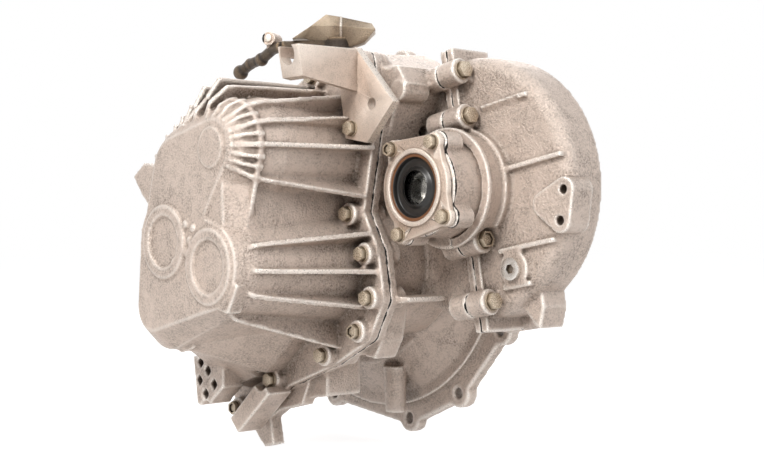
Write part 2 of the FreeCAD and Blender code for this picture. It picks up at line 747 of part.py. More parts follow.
def bolt(head_at, direction, shank, length, across):
    """A bolt whose head rests on head_at and whose shank runs on against direction."""
    out = Vector(*direction)
    out.normalize()
    washer = Part.makeCylinder(across * 0.62, 1.6, head_at, out)
    corners = []
    spin = Rotation(Vector(0, 0, 1), out)
    for i in range(7):
        angle = i * 60 * DEGREE
        corner = spin.multVec(Vector(math.cos(angle), math.sin(angle), 0) * (across / 1.732))
        corners.append(head_at + corner + out * 1.6)
    head = Part.Face(Part.makePolygon(corners)).extrude(out * 5.5)
    stem = Part.makeCylinder(shank, length, head_at, out * -1)
    return washer.fuse(head).fuse(stem).removeSplitter()


def case_bolts():
    radius = float(size("case_bolt_radius"))
    length = float(housing_face_x - case_face_x)
    plate_depth = float(size("bracket_plate"))
    screws = []
    for i, (y, z) in enumerate(CASE_BOLTS):
        lift = plate_depth if i < 2 else 0.0
        head = Vector(float(case_face_x) - lift, y, z)
        screws.append(bolt(head, (-1, 0, 0), radius, length + lift, 13.0))
    return screws


def cover_bolts():
    reach = float(size("cover_reach"))
    made_bolts = []
    for x, along in COVER_BOLTS:
        screw = bolt(Vector(x, -reach, along), (0, -1, 0), float(size("cover_bolt_radius")),
                     1.8 * reach, 15.0)
        screw.Placement = lean_axis()
        made_bolts.append(screw)
    return made_bolts


def retainer_bolts():
    head_x = float(nose_x - size("retainer_plate"))
    return [bolt(Vector(head_x, *polar(AXIS_DIFF, size("retainer_bolts_radius"), a)), (-1, 0, 0),
                 float(size("retainer_bolt_radius")), 22.0, 12.0) for a in RETAINER_BOLTS]


# Output seal retainer and the oil seals

def retainer():
    """A plate with four lobes and a raised ring round the output bore."""
    plate_x = nose_x - size("retainer_plate")
    disc = rod(plate_x, nose_x, size("retainer_radius"), AXIS_DIFF)
    collar = rod(plate_x - 3, nose_x, size("seal_radius") + 5, AXIS_DIFF)
    lobes = [rod(plate_x, nose_x, 9.5, polar(AXIS_DIFF, size("retainer_bolts_radius"), a))
             for a in RETAINER_BOLTS]
    corners = [(*polar(AXIS_DIFF, size("retainer_bolts_radius"), a), 8.0) for a in RETAINER_BOLTS]
    web = Part.Face(hull_wire(float(plate_x), corners))
    web = feature(web.extrude(Vector(float(size("retainer_plate")), 0, 0)), "retainer_web")
    solid = fuse([disc, collar, web] + lobes, "retainer")
    bore = rod(plate_x - 4, nose_x + 1, size("seal_radius"), AXIS_DIFF)
    holes = [rod(plate_x - 1, nose_x + 1, size("retainer_bolt_radius") + 0.4,
                 polar(AXIS_DIFF, size("retainer_bolts_radius"), a)) for a in RETAINER_BOLTS]
    return cut(solid, [bore] + holes, "retainer")


def oil_seal(start, outer, bore, centre, facing):
    """A seal ring with a lip that reaches in to the shaft; facing is -1 or 1 along x."""
    outer, bore = float(outer), float(bore)
    profile = [(0, outer), (0, outer - 3.5), (5, outer - 5), (5, bore + 4), (1, bore),
               (3, bore), (8, bore + 5), (8, outer)]
    corners = [Vector(facing * x, r, 0) for x, r in profile]
    face = Part.Face(Part.makePolygon(corners + corners[:1]))
    ring = face.revolve(Vector(0, 0, 0), Vector(1, 0, 0), 360)
    y, z = flat(centre)
    ring.translate(Vector(float(start), y, z))
    return ring


# Gears: straight teeth as trapezoids, thinned at the pitch line to leave a working backlash

def tooth_ring(teeth, pitch_radius, phase):
    """The corners (radius, angle) of a toothed outline; phase is the first tooth's middle."""
    module = 2.0 * pitch_radius / teeth
    root = pitch_radius - 1.2 * module
    tip = pitch_radius + 0.82 * module
    half = 0.67 * module
    corners = []
    for i in range(teeth):
        middle = phase * DEGREE + 2 * math.pi * i / teeth
        foot = min(half + 0.40 * module, 0.47 * 2 * math.pi * root / teeth) / root
        top = (half - 0.36 * module) / tip
        for radius, angle in ((root, -foot), (tip, -top), (tip, top), (root, foot)):
            corners.append((radius, middle + angle))
    return corners


def gear(teeth, pitch_radius, start, width, bore, centre, phase):
    y, z = flat(centre)
    corners = [Vector(float(start), y + r * math.cos(a), z + r * math.sin(a))
               for r, a in tooth_ring(teeth, pitch_radius, phase)]
    blank = Part.Face(Part.makePolygon(corners + corners[:1]))
    blank = blank.extrude(Vector(float(width), 0, 0))
    return blank.cut(tube_x(start - 1, start + width + 1, bore, centre))


def meshing_phase(teeth, phase, direction, other_teeth):
    """Where a mating gear's tooth lies, so that its gap meets this gear's nearest tooth."""
    offset = (phase - direction) % (360.0 / teeth)
    return direction + 180 - offset * teeth / other_teeth + 180.0 / other_teeth


SPEEDS = (("first", 10, 38), ("second", 16, 32), ("third", 21, 27), ("fourth", 25, 23),
          ("fifth", 28, 20))
gear_width = size("gear_width")
dog_width = size("dog_width")
dog_radius = size("dog_radius")
to_lower = bearing_of(AXIS_INPUT, AXIS_LOWER)
input_span = distance(AXIS_INPUT, AXIS_LOWER)


def gear_start(speed):
    return size(speed + "_x")


def input_gear(speed, teeth, other):
    radius = input_span * teeth / (teeth + other)
    return gear(teeth, radius, gear_start(speed), gear_width, shaft_radius, AXIS_INPUT, to_lower)


def wheel(speed, teeth, other, dogs_up):
    """A loose wheel on the lower shaft, with its dog ring towards its sleeve."""
    radius = input_span * other / (teeth + other)
    phase = meshing_phase(teeth, to_lower, to_lower, other)
    start = gear_start(speed)
    rim = gear(other, radius, start, gear_width, shaft_radius + slack, AXIS_LOWER, phase)
    dog_start = start + gear_width if dogs_up else start - dog_width
    dogs = tube_x(dog_start, dog_start + dog_width, dog_radius, AXIS_LOWER)
    dogs = dogs.cut(tube_x(dog_start - 1, dog_start + dog_width + 1, shaft_radius + slack,
                           AXIS_LOWER))
    return rim.fuse(dogs).removeSplitter()


FIRST_TEETH = SPEEDS[0][2]
REVERSE_TEETH = 30
first_radius = input_span * FIRST_TEETH / (SPEEDS[0][1] + FIRST_TEETH)
first_phase = meshing_phase(SPEEDS[0][1], to_lower, to_lower, FIRST_TEETH)


def reverse_wheel():
    span = distance(AXIS_LOWER, AXIS_UPPER)
    direction = bearing_of(AXIS_LOWER, AXIS_UPPER)
    phase = meshing_phase(FIRST_TEETH, first_phase, direction, REVERSE_TEETH)
    start = gear_start("first")
    rim = gear(REVERSE_TEETH, span - first_radius, start, gear_width, shaft_radius + slack,
               AXIS_UPPER, phase)
    dogs = tube_x(start - dog_width, start, dog_radius, AXIS_UPPER)
    dogs = dogs.cut(tube_x(start - dog_width - 1, start + 1, shaft_radius + slack, AXIS_UPPER))
    return rim.fuse(dogs).removeSplitter()


# Final drive: both output shafts carry a pinion that turns the ring gear

RING_TEETH = 66
LOWER_PINION_TEETH = 24
UPPER_PINION_TEETH = 14
lower_span = distance(AXIS_DIFF, AXIS_LOWER)
upper_span = distance(AXIS_DIFF, AXIS_UPPER)
ring_pitch = lower_span * RING_TEETH / (RING_TEETH + LOWER_PINION_TEETH)
to_lower_from_ring = bearing_of(AXIS_DIFF, AXIS_LOWER)
to_upper_from_ring = bearing_of(AXIS_DIFF, AXIS_UPPER)
final_x = size("final_x")
final_width = size("final_width")


def ring_gear():
    ring = gear(RING_TEETH, ring_pitch, final_x, final_width, 60.0, AXIS_DIFF, to_lower_from_ring)
    holes = []
    for i in range(6):
        spot = polar(AXIS_DIFF, 73, 60 * i)
        holes.append(tube_x(final_x - 1, final_x + final_width + 1, 4, spot))
        holes.append(tube_x(final_x + 18, final_x + final_width + 1, 7, spot))
    return ring.cut(Part.makeCompound(holes))


def final_pinion(teeth, pitch_radius, centre, direction):
    phase = meshing_phase(RING_TEETH, to_lower_from_ring, direction, teeth)
    return gear(teeth, pitch_radius, final_x, final_width, shaft_radius, centre, phase)


# Shafts, turned from bar, with the synchroniser hubs on the output shafts

hub_width = size("hub_width")
zone = size("zone")
sleeve_width = size("sleeve_width")
sleeve_radius = dog_radius + size("sleeve_wall")
ZONES = {"first_second": size("second_x") + gear_width + zone / 2,
         "third_fourth": size("third_x") - zone / 2,
         "fifth": size("fifth_x") - zone / 2}
reverse_zone = size("first_x") - zone / 2


def shaft(name, hubs, centre, last):
    """A shaft from the case's end seat to last; hubs are the middles of its hubs."""
    first = end_x + 10
    corners = [(first, 0.0), (first, shaft_radius)]
    for middle in hubs:
        corners += [(middle - hub_width / 2, shaft_radius), (middle - hub_width / 2, dog_radius),
                    (middle + hub_width / 2, dog_radius), (middle + hub_width / 2, shaft_radius)]
    corners += [(last, shaft_radius), (last, 0.0)]
    return turned(name, corners, (0, centre[0], centre[1]))


def input_shaft():
    first = end_x + 10
    shoulder = size("nose_shoulder_x")
    nose = size("nose_reach")
    corners = [(first, 0.0), (first, shaft_radius), (shoulder, shaft_radius),
               (shoulder, size("nose_shaft_radius")), (nose, size("nose_shaft_radius")),
               (nose, 0.0)]
    return turned("input_shaft", corners, (0, 0.0, 0.0))


def sleeve(middle, centre):
    """A sliding sleeve with a groove for its fork, in the leaf of its hub."""
    half = sleeve_width / 2
    bore = dog_radius + 0.1
    corners = [(0 - half, bore), (half, bore), (half, sleeve_radius), (3.5, sleeve_radius),
               (3.5, sleeve_radius - 4), (-3.5, sleeve_radius - 4), (-3.5, sleeve_radius),
               (0 - half, sleeve_radius)]
    return turned("sleeve", corners, (middle, centre[0], centre[1]))


def fork(middle, centre, rail):
    """A half ring in the sleeve's groove, an arm and a hub that slides on its rail."""
    thick = 6.4
    start = middle - thick / 2
    ring = tube_x(start, start + thick, sleeve_radius + 6, centre)
    ring = ring.cut(tube_x(start - 1, start + thick + 1, sleeve_radius - 3.7, centre))
    towards = bearing_of(centre, rail)
    y, z = flat(centre)
    keep = Part.makeBox(thick + 2, 100, 200, Vector(float(start) - 1, 0, -100))
    keep.rotate(Vector(0, 0, 0), Vector(1, 0, 0), towards)
    keep.translate(Vector(0, y, z))
    span = distance(centre, rail)
    arm = Part.makeBox(thick, span - float(sleeve_radius) - 2, 16,
                       Vector(float(start), float(sleeve_radius) + 2, -8))
    arm.rotate(Vector(0, 0, 0), Vector(1, 0, 0), towards)
    arm.translate(Vector(0, y, z))
    hub = tube_x(middle - 7, middle + 7, size("rail_radius") + 3.5, rail)
    form = ring.common(keep).fuse(arm).fuse(hub)
    return form.cut(tube_x(middle - 8, middle + 8, size("rail_radius") + slack, rail))


def rails():
    start = end_x + 12
    stop = bulkhead_x - 5
    return [rod(start, stop, size("rail_radius"), RAIL),
            rod(start, stop, size("rail_radius"), RAIL_TWO)]


# Bearings: the outer races sit in the castings, the inner races with their rollers turn

def race_ring(start, outer, inner, centre):
    ring = tube_x(start, start + race_width, outer, centre)
    return ring.cut(tube_x(start - 1, start + race_width + 1, inner, centre))


def shaft_cups():
    cups = []
    for name, axis in SHAFT_AXES:
        for start in (seat_low_x, bulkhead_x - 1 - race_width + race_width):
            cups.append(race_ring(start, race_radius, race_radius - race_wall, axis))
    return cups


def cones(axis):
    return [race_ring(start, race_radius - race_wall - slack, shaft_radius, axis)
            for start in (seat_low_x, bulkhead_x - 1)]


# Differential: the case carries the ring gear, a cross pin, two spider and two side gears

APEX_X = -100.0
diff_race = size("diff_race_radius")
low_bearing_x = nose_x + 4
high_bearing_x = size("drum_back_x") - 1


def axle_profile(profile, centre):
    """A solid turned about the x direction through centre from (x, radius) corners."""
    corners = [Vector(float(x), float(r), 0) for x, r in profile]
    face = Part.Face(Part.makePolygon(corners + corners[:1]))
    ring = face.revolve(Vector(0, 0, 0), Vector(1, 0, 0), 360)
    y, z = flat(centre)
    ring.translate(Vector(0, y, z))
    return ring


def differential_case():
    bore = size("output_bore") + 4
    hub = size("diff_race_radius") - 12
    low = float(low_bearing_x)
    high = float(high_bearing_x) + float(race_width)
    flange_x = float(final_x) - 6
    profile = [(low, bore), (high, bore), (high, hub), (-54, hub), (-56, 59.8), (final_x, 59.8),
               (final_x, 84), (flange_x, 84), (flange_x, 40), (-132, 40), (-140, hub),
               (low, hub)]
    body = axle_profile(profile, AXIS_DIFF)
    hollow = axle_profile([(APEX_X - 28, 0), (APEX_X - 28, 34), (APEX_X + 28, 34),
                           (APEX_X + 28, 0)], AXIS_DIFF)
    y, z = flat(AXIS_DIFF)
    pin_hole = Part.makeCylinder(6, 100, Vector(APEX_X, y, z - 50))
    holes = [tube_x(flange_x - 1, float(final_x) + 1, 4, polar(AXIS_DIFF, 73, 60 * i))
             for i in range(6)]
    return body.cut(Part.makeCompound([hollow, pin_hole] + holes))


def bevel_gear(teeth, other_teeth, bore, shift):
    """A bevel gear with its apex at the origin and its axis along +x; shift turns its teeth."""
    lean = math.atan2(teeth, other_teeth)
    heel, toe = 31.0, 20.0
    wires = []
    for reach in (heel, toe):
        radius = reach * math.sin(lean)
        x = reach * math.cos(lean)
        corners = [Vector(x, r * math.cos(a), r * math.sin(a))
                   for r, a in tooth_ring(teeth, radius * 0.94, shift)]
        wires.append(Part.makePolygon(corners + corners[:1]))
    blank = Part.makeLoft(wires, True, True)
    return blank.cut(Part.makeCylinder(bore, 80, Vector(-1, 0, 0), Vector(1, 0, 0)))


SIDE_TEETH = 16
SPIDER_TEETH = 10


def side_gear(facing):
    solid = bevel_gear(SIDE_TEETH, SPIDER_TEETH, float(size("output_bore")), 0.0)
    hub = Part.makeCylinder(float(size("output_bore")) + 4 - 0.1, 26, Vector(14, 0, 0),
                            Vector(1, 0, 0))
    hub = hub.cut(Part.makeCylinder(float(size("output_bore")), 80, Vector(-1, 0, 0),
                                    Vector(1, 0, 0)))
    solid = solid.fuse(hub)
    if facing < 0:
        solid.rotate(Vector(0, 0, 0), Vector(0, 0, 1), 180)
    y, z = flat(AXIS_DIFF)
    solid.translate(Vector(APEX_X, y, z))
    return solid


def spider_gear(up):
    solid = bevel_gear(SPIDER_TEETH, SIDE_TEETH, 6.0 + float(slack), 0.0)
    solid.rotate(Vector(0, 0, 0), Vector(0, 1, 0), -90 if up else 90)
    y, z = flat(AXIS_DIFF)
    solid.translate(Vector(APEX_X, y, z))
    return solid


def cross_pin():
    y, z = flat(AXIS_DIFF)
    return Part.makeCylinder(6 - 0.02, 78, Vector(APEX_X, y, z - 39))


def diff_races(outer, inner):
    return [race_ring(start, outer, inner, AXIS_DIFF) for start in (low_bearing_x, high_bearing_x)]


# Clutch release: a slave cylinder round the input shaft pushes the release bearing

def release_cylinder():
    start = bulkhead_x + 20
    return axle_profile([(start, 15), (-2, 15), (-2, 18), (start + 12, 18),
                         (start + 12, 28), (start + 4, 28), (start + 4, 36), (start, 36)],
                        AXIS_INPUT)


def release_bearing():
    return axle_profile([(-19.5, 18.1), (-6, 18.1), (-6, 26), (-8, 33), (-14, 33), (-16, 26),
                         (-19.5, 26)], AXIS_INPUT)


# Gear selection: a round selector shaft with a weighted lever on top

selector_x = size("selector_x")
selector_y = size("selector_y")
SELECTOR = (selector_x, selector_y)


def weight():
    """The cast counterweight of the selector lever, a wedge seen across the shaft."""
    outline = [(-50, 224), (-13, 252), (0, 250), (38, 242), (42, 234), (30, 222), (7, 214),
               (-38, 226)]
    corners = [Vector(along, -17, height) for along, height in outline]
    block_form = Part.Face(Part.makePolygon(corners + corners[:1])).extrude(Vector(0, 34, 0))
    hub = Part.makeCylinder(13, 22, Vector(0, 0, 208))
    form = block_form.fuse(hub)
    form = form.cut(Part.makeCylinder(float(size("selector_radius")), 32, Vector(0, 0, 200)))
    form.rotate(Vector(0, 0, 0), Vector(0, 0, 1), -42)
    form.translate(Vector(float(selector_x), float(selector_y), 0))
    return form


def turret_cover():
    plate_form = post(190, 197, 30, SELECTOR)
    stem = post(180, 197, 17.8, SELECTOR)
    collar = post(190, 203, 14, SELECTOR)
    bore = post(179, 204, size("selector_radius") + 0.06, SELECTOR)
    return cut(fuse([plate_form, stem, collar], "turret"), [bore], "turret")


# Top mount bracket: a diamond plate on the case flange with a beam that reaches outwards

def mount_bracket():
    back = float(case_face_x)
    plate_form = plate(BRACKET_PLATE, back - float(size("bracket_plate")), back)
    beam_side = [Vector(back - 9, -122, 192), Vector(back - 84, -122, 190),
                 Vector(back - 78, -122, 160), Vector(back - 9, -122, 150)]
    beam = Part.Face(Part.makePolygon(beam_side + beam_side[:1])).extrude(Vector(0, -32, 0))
    hollow_side = [Vector(back - 8, -100, 180), Vector(back - 70, -100, 180),
                   Vector(back - 66, -100, 140), Vector(back - 8, -100, 140)]
    hollow = Part.Face(Part.makePolygon(hollow_side + hollow_side[:1])).extrude(Vector(0, -46, 0))
    form = plate_form.fuse(beam.cut(hollow))
    holes = [tube_x(back - 10, back + 1, 6, (-175, 136))]
    for bolt_place in CASE_BOLTS[:2]:
        holes.append(tube_x(back - 100, back + 1, size("case_bolt_radius") + 0.5, bolt_place))
        holes.append(tube_x(back - 100, back - 9, 11, bolt_place))
    return form.cut(Part.makeCompound(holes))


def drain_plug():
    face = float(drum_front_x) - 5
    shank = tube_x(face, face + 12, 7, PLUG)
    head = tube_x(face - 5, face, 11, PLUG)
    socket = []
    for i in range(7):
        angle = i * 60 * DEGREE
        socket.append(Vector(face - 6, PLUG[0] + 5 * math.cos(angle),
                             PLUG[1] + 5 * math.sin(angle)))
    recess = Part.Face(Part.makePolygon(socket)).extrude(Vector(5, 0, 0))
    form = head.fuse(shank).cut(recess)
    form.Placement = lean_axis()
    return form


def breather():
    stem = Part.makeCylinder(5, 18, Vector(*BREATHER, 136))
    return stem.fuse(Part.makeCylinder(8, 7, Vector(*BREATHER, 150)))


def form(shape, label):
    return hand_over(feature(shape, label), label)


form(main_housing(), "main_housing")
form(gear_case(), "gear_case")
form(differential_cover(), "differential_cover")
hand_over(retainer(), "output_seal_retainer")
form(oil_seal(nose_x - 8, size("seal_radius") - 0.0, size("seal_bore"), AXIS_DIFF, 1),
     "left_output_seal")
form(oil_seal(-22, size("seal_radius") - 4, size("seal_bore"), AXIS_DIFF, -1), "right_output_seal")
form(Part.makeCompound(case_bolts()), "gear_case_bolts")
form(Part.makeCompound(cover_bolts()), "differential_cover_bolts")
form(Part.makeCompound(retainer_bolts()), "retainer_bolts")
form(drain_plug(), "drain_plug")
form(mount_bracket(), "top_mount_bracket")
form(breather(), "breather")

hand_over(input_shaft(), "input_shaft")
hand_over(shaft("lower_output_shaft", [ZONES["fifth"], ZONES["third_fourth"],
                                       ZONES["first_second"]], AXIS_LOWER, seat_high_x),
          "lower_output_shaft")
hand_over(shaft("upper_output_shaft", [reverse_zone], AXIS_UPPER, seat_high_x),
          "upper_output_shaft")
for speed, teeth, other in SPEEDS:
    form(input_gear(speed, teeth, other), "input_%s_gear" % speed)
    form(wheel(speed, teeth, other, speed in ("second", "fourth")), "%s_gear_wheel" % speed)
form(reverse_wheel(), "reverse_gear_wheel")
form(ring_gear(), "ring_gear")
form(final_pinion(LOWER_PINION_TEETH, lower_span - ring_pitch, AXIS_LOWER, to_lower_from_ring),
     "lower_final_pinion")
form(final_pinion(UPPER_PINION_TEETH, upper_span - ring_pitch, AXIS_UPPER, to_upper_from_ring),
     "upper_final_pinion")
for speed, middle in ZONES.items():
    hand_over(sleeve(middle, AXIS_LOWER), "%s_sleeve" % speed)
    form(fork(middle, AXIS_LOWER, RAIL), "%s_fork" % speed)
hand_over(sleeve(reverse_zone, AXIS_UPPER), "reverse_sleeve")
form(fork(reverse_zone, AXIS_UPPER, RAIL_TWO), "reverse_fork")
both_rails = doc.addObject("Part::Compound", "rails")
both_rails.Links = rails()
hand_over(both_rails, "selector_rails")

form(Part.makeCompound(shaft_cups()), "shaft_bearing_cups")
for name, axis in SHAFT_AXES:
    form(Part.makeCompound(cones(axis)), "%s_shaft_bearings" % name)
form(Part.makeCompound(diff_races(diff_race, diff_race - race_wall)), "differential_bearing_cups")
form(Part.makeCompound(diff_races(diff_race - race_wall - slack, diff_race - 12)),
     "differential_bearings")
form(differential_case(), "differential_case")
form(cross_pin(), "cross_pin")
form(side_gear(-1), "left_side_gear")
form(side_gear(1), "right_side_gear")
form(spider_gear(True), "upper_spider_gear")
form(spider_gear(False), "lower_spider_gear")
form(Part.makeCompound([bolt(Vector(float(final_x) + 18, *polar(AXIS_DIFF, 73, 60 * i)),
                             (1, 0, 0), 3.9, 24.0, 10.0) for i in range(6)]), "ring_gear_bolts")
form(release_cylinder(), "release_cylinder")
form(release_bearing(), "release_bearing")
hand_over(post(126, 230, size("selector_radius") - 0.02, SELECTOR), "selector_shaft")
form(weight(), "selector_lever")
hand_over(turret_cover(), "selector_turret_cover")

doc.recompute()
for thing in doc.Objects:
    if "Invalid" in thing.State or "Error" in thing.State:
        raise RuntimeError("%s (%s) failed: %s" % (thing.Name, thing.Label, thing.State))
for label, thing in parts.items():
    shape = thing.Shape
    if shape.isNull() or not shape.isValid() or not shape.Solids:
        raise RuntimeError("%s has no valid solid" % label)

os.makedirs("parts", exist_ok=True)
for label, thing in parts.items():
    thing.Shape.exportStep("parts/%s.step" % label)
print(len(parts), "sub-parts written")
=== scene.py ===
import json
import math
import bmesh
import bpy
from mathutils import Matrix, Vector

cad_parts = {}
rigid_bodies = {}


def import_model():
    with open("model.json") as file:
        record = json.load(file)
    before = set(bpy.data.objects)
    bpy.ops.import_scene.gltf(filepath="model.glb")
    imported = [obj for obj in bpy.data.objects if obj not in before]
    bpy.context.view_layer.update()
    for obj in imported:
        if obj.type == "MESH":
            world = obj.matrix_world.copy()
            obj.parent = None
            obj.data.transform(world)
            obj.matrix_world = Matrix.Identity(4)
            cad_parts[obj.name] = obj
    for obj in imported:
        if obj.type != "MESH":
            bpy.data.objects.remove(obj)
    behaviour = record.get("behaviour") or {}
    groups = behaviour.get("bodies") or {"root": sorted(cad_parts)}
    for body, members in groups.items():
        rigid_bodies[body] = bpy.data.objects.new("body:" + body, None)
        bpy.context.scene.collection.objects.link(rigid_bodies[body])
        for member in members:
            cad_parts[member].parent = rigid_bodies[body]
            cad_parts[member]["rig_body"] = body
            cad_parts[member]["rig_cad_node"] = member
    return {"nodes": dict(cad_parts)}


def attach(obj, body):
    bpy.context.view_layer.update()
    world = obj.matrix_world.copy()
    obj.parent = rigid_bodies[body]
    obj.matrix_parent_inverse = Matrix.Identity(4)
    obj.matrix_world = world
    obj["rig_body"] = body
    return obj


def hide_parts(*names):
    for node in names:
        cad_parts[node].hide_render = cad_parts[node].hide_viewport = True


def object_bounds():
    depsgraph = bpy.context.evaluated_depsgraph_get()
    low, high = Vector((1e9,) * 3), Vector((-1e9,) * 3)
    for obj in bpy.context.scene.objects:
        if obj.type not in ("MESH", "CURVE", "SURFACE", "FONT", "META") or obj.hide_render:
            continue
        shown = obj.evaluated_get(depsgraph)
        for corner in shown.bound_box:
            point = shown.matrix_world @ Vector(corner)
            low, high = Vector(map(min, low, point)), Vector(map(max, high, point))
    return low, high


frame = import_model()
cad_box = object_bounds()
nodes = frame["nodes"]

# The camera stands level with the input shaft, in front of the gear case's closed end and
# a little to the differential's side, as in the photograph.
camera_place = (-1.035, -1.130, 0.007)
camera_aim = Vector((0.669, 0.743, 0.0))
sensor_width = 36.0
photo_width = 764
focal_pixels = 1300
bpy.ops.object.select_all(action="DESELECT")
bpy.ops.object.camera_add(location=camera_place)
camera = bpy.context.object
camera.name = "camera"
camera.rotation_mode = "QUATERNION"
camera.rotation_quaternion = camera_aim.to_track_quat("-Z", "Y")
camera.data.sensor_width = sensor_width
camera.data.lens = focal_pixels / photo_width * sensor_width
camera.data.clip_start = 0.05
camera.data.clip_end = 60.0
bpy.context.scene.camera = camera
bpy.context.scene.view_settings.view_transform = "Standard"


# A pale table under the transmission, and a white studio round it. The camera, and what
# metal reflects, see plain white. Three large soft boxes light the castings evenly.
def new_material(name):
    """An empty node material and its node and link lists."""
    material = bpy.data.materials.new(name)
    material.use_nodes = True
    material.node_tree.nodes.clear()
    return material, material.node_tree.nodes, material.node_tree.links


def white_to_eye(tree_nodes, links, lit, output):
    """Shows plain white to camera, glossy and transmission rays, and the lit shader to the rest."""
    path = tree_nodes.new("ShaderNodeLightPath")
    either = tree_nodes.new("ShaderNodeMath")
    either.operation = "MAXIMUM"
    links.new(path.outputs["Is Camera Ray"], either.inputs[0])
    links.new(path.outputs["Is Glossy Ray"], either.inputs[1])
    any_of = tree_nodes.new("ShaderNodeMath")
    any_of.operation = "MAXIMUM"
    links.new(either.outputs[0], any_of.inputs[0])
    links.new(path.outputs["Is Transmission Ray"], any_of.inputs[1])
    mix = tree_nodes.new("ShaderNodeMixShader")
    links.new(any_of.outputs[0], mix.inputs[0])
    links.new(lit, mix.inputs[1])
    links.new(mix.outputs[0], output.inputs["Surface"])
    return mix


world = bpy.data.worlds.new("studio")
bpy.context.scene.world = world
world.use_nodes = True
tree = world.node_tree
tree.nodes.clear()
world_out = tree.nodes.new("ShaderNodeOutputWorld")
dim = tree.nodes.new("ShaderNodeBackground")
dim.inputs["Color"].default_value = (0.96, 0.97, 1.0, 1)
dim.inputs["Strength"].default_value = 0.26
bright = tree.nodes.new("ShaderNodeBackground")
bright.inputs["Color"].default_value = (1, 1, 1, 1)
bright.inputs["Strength"].default_value = 1.0
mix = white_to_eye(tree.nodes, tree.links, dim.outputs[0], world_out)
tree.links.new(bright.outputs[0], mix.inputs[2])

floor_gap = 0.0005
floor_width = 24
bpy.ops.mesh.primitive_plane_add(size=floor_width, location=(0, 0, cad_box[0].z - floor_gap))
floor = bpy.context.object
floor.name = "floor"
material, tree_nodes, links = new_material("table_white")
out = tree_nodes.new("ShaderNodeOutputMaterial")
paint = tree_nodes.new("ShaderNodeBsdfDiffuse")
paint.inputs["Color"].default_value = (0.42, 0.37, 0.33, 1)
glow = tree_nodes.new("ShaderNodeEmission")
glow.inputs["Color"].default_value = (1, 1, 1, 1)
glow.inputs["Strength"].default_value = 0.86
seen = tree_nodes.new("ShaderNodeAddShader")
faint = tree_nodes.new("ShaderNodeBsdfDiffuse")
faint.inputs["Color"].default_value = (0.55, 0.55, 0.55, 1)
links.new(glow.outputs[0], seen.inputs[0])
links.new(faint.outputs[0], seen.inputs[1])
mix = white_to_eye(tree_nodes, links, paint.outputs[0], out)
links.new(seen.outputs[0], mix.inputs[2])
floor.data.materials.append(material)


def soft_box(name, place, target, width, power, color):
    """A square soft box at a place, turned to face a target."""
    bpy.ops.object.light_add(type="AREA", location=place)
    lamp = bpy.context.object
    lamp.name = name
    lamp.data.shape = "SQUARE"
    lamp.data.size = width
    lamp.data.energy = power
    lamp.data.color = color
    aim = Vector(target) - Vector(place)
    lamp.rotation_mode = "QUATERNION"
    lamp.rotation_quaternion = aim.to_track_quat("-Z", "Y")
    lamp.visible_camera = False


middle = (cad_box[0] + cad_box[1]) / 2
soft_box("key", (-2.0, -0.7, 1.5), middle, width=1.0, power=60, color=(1.0, 0.98, 0.95))
soft_box("fill", (0.7, -2.1, 0.9), middle, width=1.4, power=13, color=(0.96, 0.98, 1.0))
soft_box("back", (1.4, 1.6, 1.8), middle, width=1.6, power=22, color=(1.0, 1.0, 1.0))


# The bell half of the gearbox, which also holds the differential's back half: one piece of
# sand-cast aluminium with soft corners. It is remodelled as a skin with cast fillets.
def pick(thing):
    """Selects just this object and makes it the active one."""
    bpy.ops.object.select_all(action="DESELECT")
    thing.hide_set(False)
    thing.select_set(True)
    bpy.context.view_layer.objects.active = thing


same_corner = 0.000005


def copy_of(node, name):
    """A merged copy of a CAD node's mesh as a piece of its own."""
    pick(nodes[node])
    bpy.ops.object.duplicate()
    piece = bpy.context.object
    piece.name = name
    piece.parent = None
    piece.matrix_world = Matrix.Identity(4)
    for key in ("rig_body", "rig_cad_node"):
        del piece[key]
    pick(piece)
    bpy.ops.object.mode_set(mode="EDIT")
    bpy.ops.mesh.select_all(action="SELECT")
    bpy.ops.mesh.remove_doubles(threshold=same_corner)
    bpy.ops.object.mode_set(mode="OBJECT")
    piece.data.materials.clear()
    return piece


def apply_modifier(piece, kind, **settings):
    """Adds a modifier with these settings and applies it."""
    pick(piece)
    modifier = piece.modifiers.new(kind.lower(), kind)
    for key, value in settings.items():
        setattr(modifier, key, value)
    bpy.ops.object.modifier_apply(modifier=modifier.name)


def cast_skin(piece, voxel, rounds, most):
    """Remodels a merged form as a cast skin: even mesh, softened corners, at most so many
    triangles."""
    apply_modifier(piece, "REMESH", mode="VOXEL", voxel_size=voxel, use_smooth_shade=True)
    apply_modifier(piece, "SMOOTH", factor=0.5, iterations=rounds)
    triangles = sum(len(face.vertices) - 2 for face in piece.data.polygons)
    if triangles > most:
        apply_modifier(piece, "DECIMATE", ratio=most / triangles)
    pick(piece)
    bpy.ops.object.shade_smooth()


mix_first = 6
mix_last = 7
mix_result = 2


